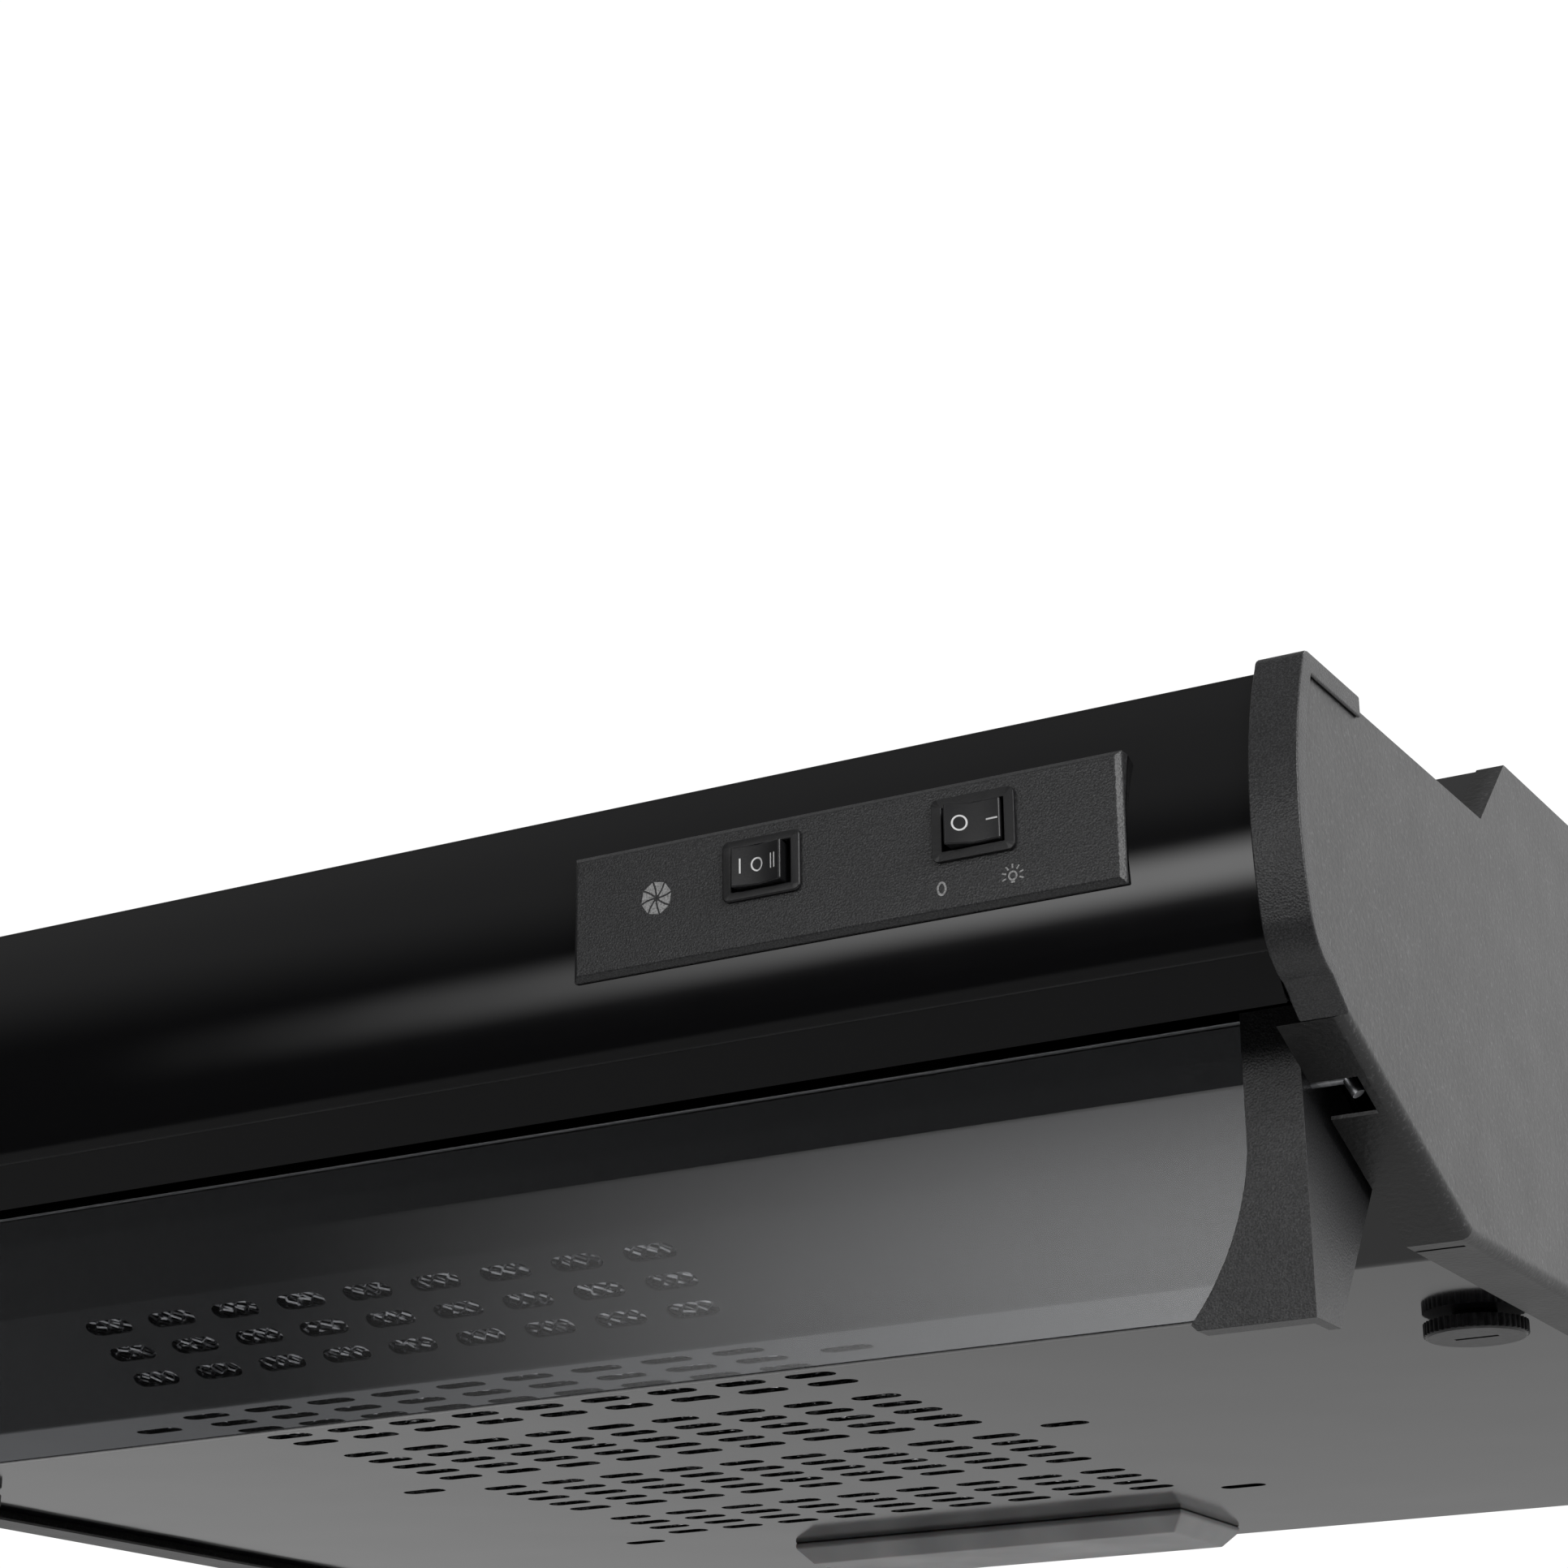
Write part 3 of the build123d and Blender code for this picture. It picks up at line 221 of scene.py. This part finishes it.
def vary_roughness(tree, shader, factor, low, high):
    """Roughness that runs between two values with a factor."""
    spread = add(tree, "ShaderNodeMapRange", [("Value", factor), ("To Min", low),
                                              ("To Max", high)])
    tree.links.new(spread.outputs[0], shader.inputs["Roughness"])


def relief(tree, shader, factor, depth, strength=1.0):
    """Bump of this depth in metres."""
    bump = add(tree, "ShaderNodeBump", [("Height", factor), ("Distance", depth),
                                        ("Strength", strength)])
    tree.links.new(bump.outputs["Normal"], shader.inputs["Normal"])


def coat(material, *names):
    """Put a material on CAD pieces."""
    for name in names:
        data = NODES[name].data
        data.materials.clear()
        data.materials.append(material)


powder_coat, shader = new_material("charcoal_powder_coat", (0.016, 0.016, 0.0165), 0.34)
tree = powder_coat.node_tree
grains = noise(tree, 0.0011, 3.0, 0.6)
tint(tree, shader, grains.outputs["Fac"], (0.014, 0.014, 0.0145), (0.09, 0.09, 0.092), 0.55, 0.76)
peel = noise(tree, 0.0016, 2.0)
relief(tree, shader, peel.outputs["Fac"], 0.00022, 0.5)
vary_roughness(tree, shader, noise(tree, 0.02).outputs["Fac"], 0.3, 0.4)
# painted shade: the flanges are the same coat as the outside face, but are painted darker and
# without its pale specks, to stand for the shade they lie in
flange_start, flange_bend = 295.5 * MM, 298.5 * MM
flange_painted_shade = (0.003, 0.003, 0.003, 1)
spot = add(tree, "ShaderNodeSeparateXYZ", [("Vector", surface_place(tree))])
from_middle = add(tree, "ShaderNodeMath", [(0, spot.outputs["X"])], operation="ABSOLUTE")
flange_shade_mask = add(tree, "ShaderNodeMapRange",
             [("Value", from_middle.outputs[0]), ("From Min", flange_start),
              ("From Max", flange_bend), ("To Min", 1.0), ("To Max", 0.0)])
speckled = shader.inputs["Base Color"].links[0].from_socket
blend = add(tree, "ShaderNodeMix", [(0, flange_shade_mask.outputs[0]), (6, speckled), (7, flange_painted_shade)],
            data_type="RGBA")
tree.links.new(blend.outputs[2], shader.inputs["Base Color"])
coat(powder_coat, "side_wall_left", "side_wall_right")


# ---- Front sheet, top, back and grille panel -----------------------------------------
# Steel sheet in a deep gloss black stove enamel, flat and mirror-like, with the very
# slow waviness of pressed sheet and faint wiping marks in the gloss.
enamel, shader = new_material("gloss_black_enamel", (0.0035, 0.0035, 0.004), 0.07)
shader.inputs["IOR"].default_value = 1.52
tree = enamel.node_tree
relief(tree, shader, noise(tree, 0.05, 1.0).outputs["Fac"], 0.0004, 0.35)
vary_roughness(tree, shader, noise(tree, 0.03, 4.0).outputs["Fac"], 0.05, 0.13)
coat(enamel, "front_panel", "top_panel", "back_panel", "grille_panel")


# ---- End caps, control plate and visor brackets --------------------------------------
# Injection-moulded black plastic with a fine spark-eroded grain, moulded with small
# rounded edges. The caps and the plate snap into the front sheet.
def softened(node, radius, steps=2):
    """A copy of a CAD piece whose edges are rounded, to stand for it."""
    edge_angle, shading_angle = math.radians(35), math.radians(40)
    mesh = bmesh.new()
    mesh.from_mesh(NODES[node].data)
    bmesh.ops.remove_doubles(mesh, verts=mesh.verts, dist=0.00002)
    bmesh.ops.dissolve_limit(mesh, angle_limit=math.radians(2), verts=mesh.verts,
                             edges=mesh.edges)
    sharp = [e for e in mesh.edges if e.is_manifold and e.calc_face_angle(0) > edge_angle]
    bmesh.ops.bevel(mesh, geom=sharp, offset=radius, segments=steps, profile=0.5,
                    affect="EDGES", clamp_overlap=True)
    bmesh.ops.triangulate(mesh, faces=[f for f in mesh.faces if len(f.verts) > 4])
    for face in mesh.faces:
        face.smooth = True
    data = bpy.data.meshes.new(f"{node}_moulded")
    mesh.to_mesh(data)
    mesh.free()
    data.set_sharp_from_angle(angle=shading_angle)
    piece = bpy.data.objects.new(f"{node}_moulded", data)
    bpy.context.scene.collection.objects.link(piece)
    flatten = piece.modifiers.new("flat_faces", "WEIGHTED_NORMAL")
    flatten.keep_sharp = True
    flatten.weight = 90
    return piece


def dress(piece, material, body, slot, *nodes):
    """Give a made piece its material and body, and say what it stands for; the slot is not used.
    """
    piece.data.materials.clear()
    piece.data.materials.append(material)
    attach(piece, body)
    if nodes:
        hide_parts(*nodes)
    return piece


grained, shader = new_material("grained_black_plastic", (0.03, 0.03, 0.031), 0.44)
tree = grained.node_tree
pits = add(tree, "ShaderNodeTexVoronoi", [("Vector", surface_place(tree)), ("Scale", 1900.0)])
tint(tree, shader, noise(tree, 0.00042, 1.0, 0.6).outputs["Fac"], (0.02, 0.02, 0.021),
     (0.07, 0.071, 0.073), 0.4, 0.85)
relief(tree, shader, pits.outputs["Distance"], 0.00014, 0.5)
vary_roughness(tree, shader, noise(tree, 0.01).outputs["Fac"], 0.32, 0.44)
for side in ("left", "right"):
    dress(softened(f"end_cap_{side}", 0.7 * MM), grained, "housing", "grained_plastic",
          f"end_cap_{side}")
    dress(softened(f"visor_bracket_{side}", 0.6 * MM), grained, "visor", "grained_plastic",
          f"visor_bracket_{side}")
dress(softened("control_plate", 0.8 * MM), grained, "housing", "grained_plastic",
      "control_plate")


# ---- Rocker switches -----------------------------------------------------------------
# Two snap-in rocker switches in satin black nylon: a three-way one for the fan and an
# on-off one for the lamp, with white pad-printed marks on their rockers.
nylon, shader = new_material("satin_black_nylon", (0.012, 0.012, 0.013), 0.3)
tree = nylon.node_tree
relief(tree, shader, noise(tree, 0.0006).outputs["Fac"], 0.00005, 0.4)
vary_roughness(tree, shader, noise(tree, 0.004).outputs["Fac"], 0.26, 0.38)
for use in ("fan", "light"):
    dress(softened(f"{use}_switch_body", 0.7 * MM, steps=3), nylon, "housing", "switch_black",
          f"{use}_switch_body")
    dress(softened(f"{use}_rocker", 0.45 * MM, steps=3), nylon, f"{use}_rocker", "switch_black",
          f"{use}_rocker")

print_white, shader = new_material("pad_print_white", (0.78, 0.78, 0.78), 0.5)
tree = print_white.node_tree
tint(tree, shader, noise(tree, 0.0004).outputs["Fac"], (0.7, 0.7, 0.7), (0.86, 0.86, 0.86))
print_grey, shader = new_material("pad_print_grey", (0.35, 0.35, 0.35), 0.6)
tree = print_grey.node_tree
tint(tree, shader, noise(tree, 0.0005, 3.0).outputs["Fac"], (0.2, 0.2, 0.2), (0.45, 0.45, 0.45),
     0.35, 0.6)


def stroke(start, end, width):
    """Straight bar between two (x, z) points, as a four-cornered outline."""
    a, b = Vector(start), Vector(end)
    side = Vector((-(b - a).y, (b - a).x)).normalized() * width / 2
    return [[a + side, b + side, b - side, a - side]]


def ring(centre, r_x, r_z, width, count=28):
    """Oval ring, as four-cornered outlines."""
    def point(i, grow):
        angle = 2 * math.pi * i / count
        return Vector((centre[0] + (r_x + grow) * math.cos(angle),
                       centre[1] + (r_z + grow) * math.sin(angle)))
    return [[point(i, width / 2), point(i + 1, width / 2), point(i + 1, -width / 2),
             point(i, -width / 2)] for i in range(count)]


def printed(name, shapes, node, body, material, slot):
    """A thin print: (x, z) outlines laid on the front of a CAD piece."""
    ink_height = 0.05 * MM
    target = bmesh.new()
    target.from_mesh(NODES[node].data)
    front = BVHTree.FromBMesh(target)
    ink = bmesh.new()
    for outline in shapes:
        corners = []
        for p in outline:
            hit, normal, _, _ = front.ray_cast(Vector((p.x, -1, p.y)), Vector((0, 1, 0)))
            corners.append(ink.verts.new(hit + normal * ink_height))
        ink.faces.new(corners)
    bmesh.ops.remove_doubles(ink, verts=ink.verts, dist=0.00001)
    bmesh.ops.recalc_face_normals(ink, faces=ink.faces)
    if sum(f.normal.y for f in ink.faces) > 0:
        bmesh.ops.reverse_faces(ink, faces=ink.faces)
    data = bpy.data.meshes.new(name)
    ink.to_mesh(data)
    ink.free()
    target.free()
    piece = bpy.data.objects.new(name, data)
    bpy.context.scene.collection.objects.link(piece)
    return dress(piece, material, body, slot)


def middle(node):
    """Middle of a CAD piece's box."""
    low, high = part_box(node)
    return (low + high) / 2


fan_x, fan_z = middle("fan_rocker").x, middle("fan_rocker").z
lamp_x, lamp_z = middle("light_rocker").x, middle("light_rocker").z
mark = 0.42 * MM
bar_low, bar_high = fan_z - 1.9 * MM, fan_z + 1.9 * MM
one_x = fan_x - 4.4 * MM
fan_marks = stroke((one_x, bar_low), (one_x, bar_high), mark)
fan_marks += ring((fan_x - 0.1 * MM, fan_z), 1.4 * MM, 1.6 * MM, mark)
for two_x in (fan_x + 4.1 * MM, fan_x + 5.1 * MM):
    fan_marks += stroke((two_x, bar_low), (two_x, bar_high), mark * 0.8)
printed("fan_rocker_marks", fan_marks, "fan_rocker", "fan_rocker", print_white, "switch_black")
lamp_marks = ring((lamp_x - 3.0 * MM, lamp_z), 1.6 * MM, 1.75 * MM, mark)
lamp_marks += stroke((lamp_x + 3.4 * MM, lamp_z), (lamp_x + 6.4 * MM, lamp_z), mark)
printed("light_rocker_marks", lamp_marks, "light_rocker", "light_rocker", print_white,
        "switch_black")

# below the rockers: a fan wheel, a nought and a bulb with rays
wheel_hub = Vector((fan_x - 30 * MM, fan_z - 2.7 * MM))
sweep = 0.05


def wheel_point(r, angle):
    """Point of the fan wheel icon, whose blades sweep a little as they go out."""
    swept = angle + sweep * r / MM
    return wheel_hub + Vector((math.cos(swept), math.sin(swept))) * r


icons = []
radii = [0.8 * MM, 1.2 * MM, 2.0 * MM, 3.0 * MM, 4.3 * MM]
blades = 8
gap = 0.24 * MM
for i in range(blades):
    a, b = 2 * math.pi * i / blades, 2 * math.pi * (i + 1) / blades
    for r0, r1 in zip(radii, radii[1:]):
        icons.append([wheel_point(r0, a + gap / r0), wheel_point(r0, b - gap / r0),
                      wheel_point(r1, b - gap / r1), wheel_point(r1, a + gap / r1)])
icon_row_z = fan_z - 14.0 * MM
icons += ring((lamp_x - 9.8 * MM, icon_row_z), 1.0 * MM, 1.5 * MM, 0.55 * MM)
bulb_icon = Vector((lamp_x + 8.6 * MM, icon_row_z))
icons += ring(bulb_icon, 1.0 * MM, 1.0 * MM, 0.45 * MM, 16)
icons += stroke(bulb_icon + Vector((-0.5, -1.5)) * MM, bulb_icon + Vector((0.5, -1.5)) * MM,
                0.45 * MM)
for i in range(7):
    a = math.pi * (i - 0.5) / 5
    ray = Vector((math.cos(a), math.sin(a)))
    icons += stroke(bulb_icon + ray * 1.8 * MM, bulb_icon + ray * 2.9 * MM, 0.4 * MM)
printed("plate_icons", icons, "control_plate", "housing", print_grey, "grained_plastic")


# ---- Grease filter -------------------------------------------------------------------
# A pad of expanded aluminium: two layers of bright hexagon mesh under a dark core. It lies
# on the grille panel, held by wires, and follows the panel's bend.
filter_low, filter_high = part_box("grease_filter")
panel_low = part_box("grille_panel")[0]
flat_z = panel_low.z
panel_rise = 0.511
bend_behind_edge = 73.1 * MM
slope = math.atan(panel_rise)
bend_y = panel_low.y + bend_behind_edge
incline_len = (bend_y - filter_low.y) / math.cos(slope)
pad_len = incline_len + filter_high.y - bend_y


def on_pad(x, s, lift):
    """Point at x and at arc length s from the pad's front, this far above the panel's
    underside."""
    mitre = lift * math.tan(slope / 2)
    if s < incline_len:
        back = incline_len - s
        y = bend_y - back * math.cos(slope) + lift * math.sin(slope)
        z = flat_z + back * math.sin(slope) + lift * math.cos(slope)
        if y > bend_y + mitre:
            y, z = bend_y + mitre, flat_z + lift
        return Vector((x, y, z))
    return Vector((x, max(bend_y + s - incline_len, bend_y + mitre), flat_z + lift))


def wire_mesh(name, lift, pitch, wire, seed):
    """Hexagon mesh of thin strands, each cell a little uneven."""
    random.seed(seed)
    margin = 0.003
    uneven_x, uneven_s, uneven_lift = 0.12, 0.1, 0.3
    row_step, row_zigzag = pitch * 0.62, pitch * 0.24
    third_turns = (0, 2.094, 4.189)
    columns = int((filter_high.x - filter_low.x - 2 * margin) / pitch)
    rows = int((pad_len - 2 * margin) / row_step)
    spots = {}
    for j in range(rows * 2):
        for i in range(columns):
            x = filter_low.x + margin + (i + 0.5 * ((j // 2) % 2)) * pitch
            s = margin + (j // 2) * row_step + (j % 2) * row_zigzag
            x += random.uniform(-uneven_x, uneven_x) * pitch
            s += random.uniform(-uneven_s, uneven_s) * pitch
            spots[i, j] = on_pad(x, s, lift + random.uniform(-uneven_lift, uneven_lift) * MM)
    joins = []
    for (i, j) in spots:
        if j % 2 == 0:
            joins.append(((i, j), (i, j + 1)))
        else:
            shift = (j // 2) % 2
            for di in (shift - 1, shift):
                joins.append(((i, j), (i + di, j + 1)))
    mesh = bmesh.new()
    for a, b in joins:
        if b not in spots:
            continue
        p, q = spots[a], spots[b]
        along = (q - p).normalized()
        side = along.orthogonal().normalized()
        other = along.cross(side)
        start, end = ([mesh.verts.new(spot + (side * math.cos(t) + other * math.sin(t)) * wire / 2)
                       for t in third_turns] for spot in (p, q))
        for k in range(3):
            mesh.faces.new((start[k], start[(k + 1) % 3], end[(k + 1) % 3], end[k]))
    data = bpy.data.meshes.new(name)
    mesh.to_mesh(data)
    mesh.free()
    piece = bpy.data.objects.new(name, data)
    bpy.context.scene.collection.objects.link(piece)
    return piece


aluminium, shader = new_material("bright_aluminium", (0.82, 0.82, 0.83), 0.28, 1.0)
tree = aluminium.node_tree
tint(tree, shader, noise(tree, 0.003).outputs["Fac"], (0.6, 0.6, 0.61), (0.9, 0.9, 0.91), 0.3, 0.7)
vary_roughness(tree, shader, noise(tree, 0.001).outputs["Fac"], 0.2, 0.45)
dress(wire_mesh("filter_mesh_front", 1.75 * MM, 4.6 * MM, 0.75 * MM, 4), aluminium, "grille",
      "filter_mesh")
dress(wire_mesh("filter_mesh_rear", 2.9 * MM, 4.6 * MM, 0.7 * MM, 9), aluminium, "grille",
      "filter_mesh")

core_black, shader = new_material("filter_core", (0.012, 0.012, 0.013), 0.8)
tree = core_black.node_tree
fibres = noise(tree, 0.0012, 4.0, 0.7)
tint(tree, shader, fibres.outputs["Fac"], (0.004, 0.004, 0.005), (0.04, 0.04, 0.043), 0.4, 0.75)
relief(tree, shader, fibres.outputs["Fac"], 0.001, 0.8)
core = bmesh.new()
core_inset, core_low, core_high, core_steps = 1 * MM, 4.2 * MM, 6.6 * MM, 60
core_left, core_right = filter_low.x + core_inset, filter_high.x - core_inset
core_rows = []
for k in range(core_steps + 1):
    s = core_inset + (pad_len - 2 * core_inset) * k / core_steps
    core_rows.append([core.verts.new(on_pad(x, s, lift)) for x, lift in (
        (core_left, core_low), (core_right, core_low),
        (core_right, core_high), (core_left, core_high))])
for a, b in zip(core_rows, core_rows[1:]):
    for k in range(4):
        core.faces.new((a[k], a[(k + 1) % 4], b[(k + 1) % 4], b[k]))
core.faces.new(core_rows[0][::-1])
core.faces.new(core_rows[-1])
bmesh.ops.recalc_face_normals(core, faces=core.faces)
core_data = bpy.data.meshes.new("filter_core")
core.to_mesh(core_data)
core.free()
core_piece = bpy.data.objects.new("filter_core", core_data)
bpy.context.scene.collection.objects.link(core_piece)
dress(core_piece, core_black, "grille", "filter_mesh", "grease_filter")


# ---- Visor glass and bright steel rods -----------------------------------------------
# A flat plate of smoked clear plastic with polished edges, held in the brackets. Hinge
# pins, flap rod, motor shaft, bearings and filter wires are bright drawn steel.
smoked, shader = new_material("smoked_clear", (0.46, 0.47, 0.49), 0.02)
shader.inputs["Transmission Weight"].default_value = 1.0
shader.inputs["IOR"].default_value = 1.46
tree = smoked.node_tree
vary_roughness(tree, shader, noise(tree, 0.02, 3.0).outputs["Fac"], 0.0, 0.03)
dress(softened("visor_glass", 0.4 * MM), smoked, "visor", "smoked_glass", "visor_glass")

bright_steel, shader = new_material("bright_steel", (0.78, 0.78, 0.79), 0.16, 1.0)
tree = bright_steel.node_tree
vary_roughness(tree, shader, noise(tree, 0.002, 3.0).outputs["Fac"], 0.1, 0.26)
coat(bright_steel, "hinge_pins", "flap_rod", "motor_shaft", "motor_bearings", "filter_wires")


# ---- Latch knobs and zinc-plated pressings -------------------------------------------
# Knurled black discs with a coin slot, moulded on a spindle that goes through the panel
# to a pressed steel tongue. Tongues, ears, brackets and visor pins are zinc-plated steel.
knob_plastic, shader = new_material("knob_plastic", (0.02, 0.02, 0.021), 0.38)
tree = knob_plastic.node_tree
tint(tree, shader, noise(tree, 0.002, 3.0).outputs["Fac"], (0.016, 0.016, 0.017),
     (0.05, 0.05, 0.052), 0.4, 0.8)
relief(tree, shader, noise(tree, 0.0007).outputs["Fac"], 0.00008, 0.5)
coat(knob_plastic, "latch_knob_left", "latch_knob_right")

zinc, shader = new_material("zinc_plated_steel", (0.55, 0.56, 0.58), 0.34, 1.0)
tree = zinc.node_tree
spangle = add(tree, "ShaderNodeTexVoronoi", [("Vector", surface_place(tree)), ("Scale", 320.0)])
tint(tree, shader, spangle.outputs["Color"], (0.42, 0.43, 0.45), (0.66, 0.67, 0.69), 0.2, 0.8)
vary_roughness(tree, shader, spangle.outputs["Distance"], 0.28, 0.46)
coat(zinc, "visor_pin_left", "visor_pin_right", "latch_tongue_left", "latch_tongue_right",
     "latch_keepers", "hinge_bracket_left", "hinge_bracket_right", "grille_hinge_ear_left",
     "grille_hinge_ear_right", "pivot_ear_left", "pivot_ear_right", "lamp_bracket",
     "motor_bracket", "capacitor_clamp")


# ---- Lamp cover, socket and bulb -----------------------------------------------------
# A frosted tray of opal plastic clipped into the panel, under a small screw-in bulb in
# a white moulded socket on its own bracket.
opal, shader = new_material("frosted_opal", (0.62, 0.62, 0.63), 0.42)
shader.inputs["Subsurface Weight"].default_value = 0.25
shader.inputs["Subsurface Scale"].default_value = 0.004
tree = opal.node_tree
frost = noise(tree, 0.0012, 3.0, 0.6)
tint(tree, shader, noise(tree, 0.03).outputs["Fac"], (0.28, 0.28, 0.285), (0.42, 0.42, 0.425),
     0.3, 0.7)
relief(tree, shader, frost.outputs["Fac"], 0.00015, 0.4)
dress(softened("lamp_cover", 0.6 * MM, steps=3), opal, "grille", "frosted_cover",
      "lamp_cover")

socket_white, shader = new_material("socket_thermoset", (0.75, 0.73, 0.68), 0.45)
tree = socket_white.node_tree
tint(tree, shader, noise(tree, 0.004).outputs["Fac"], (0.7, 0.68, 0.63), (0.8, 0.78, 0.74))
coat(socket_white, "lamp_socket")
bulb_clear, shader = new_material("bulb_glass", (0.95, 0.95, 0.95), 0.02)
shader.inputs["Transmission Weight"].default_value = 1.0
tree = bulb_clear.node_tree
vary_roughness(tree, shader, noise(tree, 0.01).outputs["Fac"], 0.0, 0.04)
coat(bulb_clear, "bulb_glass")
brass, shader = new_material("rolled_brass", (0.72, 0.58, 0.3), 0.3, 1.0)
tree = brass.node_tree
rolled = add(tree, "ShaderNodeTexWave", [("Vector", surface_place(tree)), ("Scale", 110.0)])
relief(tree, shader, rolled.outputs["Fac"], 0.0006, 0.8)
vary_roughness(tree, shader, noise(tree, 0.003).outputs["Fac"], 0.22, 0.4)
coat(brass, "bulb_cap", "switch_terminals")


# ---- Blower --------------------------------------------------------------------------
# Two moulded scroll halves around a drum impeller, with the motor carried by a pressed
# bracket on the left half.
moulded, shader = new_material("blower_plastic", (0.05, 0.05, 0.053), 0.45)
tree = moulded.node_tree
tint(tree, shader, noise(tree, 0.02, 4.0).outputs["Fac"], (0.04, 0.04, 0.042),
     (0.075, 0.075, 0.08), 0.35, 0.7)
relief(tree, shader, noise(tree, 0.001).outputs["Fac"], 0.0001, 0.5)
coat(moulded, "blower_scroll_left", "blower_scroll_right", "impeller")
motor_paint, shader = new_material("motor_paint", (0.16, 0.17, 0.18), 0.4)
tree = motor_paint.node_tree
laminations = add(tree, "ShaderNodeTexWave", [("Vector", surface_place(tree)),
                                              ("Scale", 300.0)], bands_direction="X")
relief(tree, shader, laminations.outputs["Fac"], 0.0003, 0.7)
tint(tree, shader, noise(tree, 0.006).outputs["Fac"], (0.12, 0.125, 0.13), (0.22, 0.225, 0.23))
coat(motor_paint, "motor_body")


# ---- Outlet collar and flaps ---------------------------------------------------------
# The duct collar and its two back-draught flaps are moulded in plain black plastic, like
# the terminal box and the cable gland. The motor's capacitor has a white case.
plain, shader = new_material("plain_black_plastic", (0.03, 0.03, 0.031), 0.4)
tree = plain.node_tree
tint(tree, shader, noise(tree, 0.01, 3.0).outputs["Fac"], (0.022, 0.022, 0.023),
     (0.045, 0.045, 0.047), 0.35, 0.7)
relief(tree, shader, noise(tree, 0.0012).outputs["Fac"], 0.0001, 0.5)
coat(plain, "flap_left", "flap_right", "cable_gland", "terminal_box", "terminal_box_lid")
dress(softened("outlet_collar", 0.4 * MM), plain, "housing", "plain_plastic", "outlet_collar")

capacitor_white, shader = new_material("capacitor_case", (0.78, 0.78, 0.75), 0.35)
tree = capacitor_white.node_tree
tint(tree, shader, noise(tree, 0.01).outputs["Fac"], (0.72, 0.72, 0.69), (0.82, 0.82, 0.8))
coat(capacitor_white, "capacitor")


# ---- Screws --------------------------------------------------------------------------
# Zinc-plated steel screws hold the hinges, the lamp bracket, the capacitor clamp, the
# duct collar, the motor bracket and the latch tongues.
screw_steel, shader = new_material("screw_steel", (0.6, 0.6, 0.62), 0.3, 1.0)
tree = screw_steel.node_tree
vary_roughness(tree, shader, noise(tree, 0.001, 3.0).outputs["Fac"], 0.22, 0.42)
coat(screw_steel, "motor_screws", "collar_screws", "back_screws", "latch_screw_left",
     "latch_screw_right")
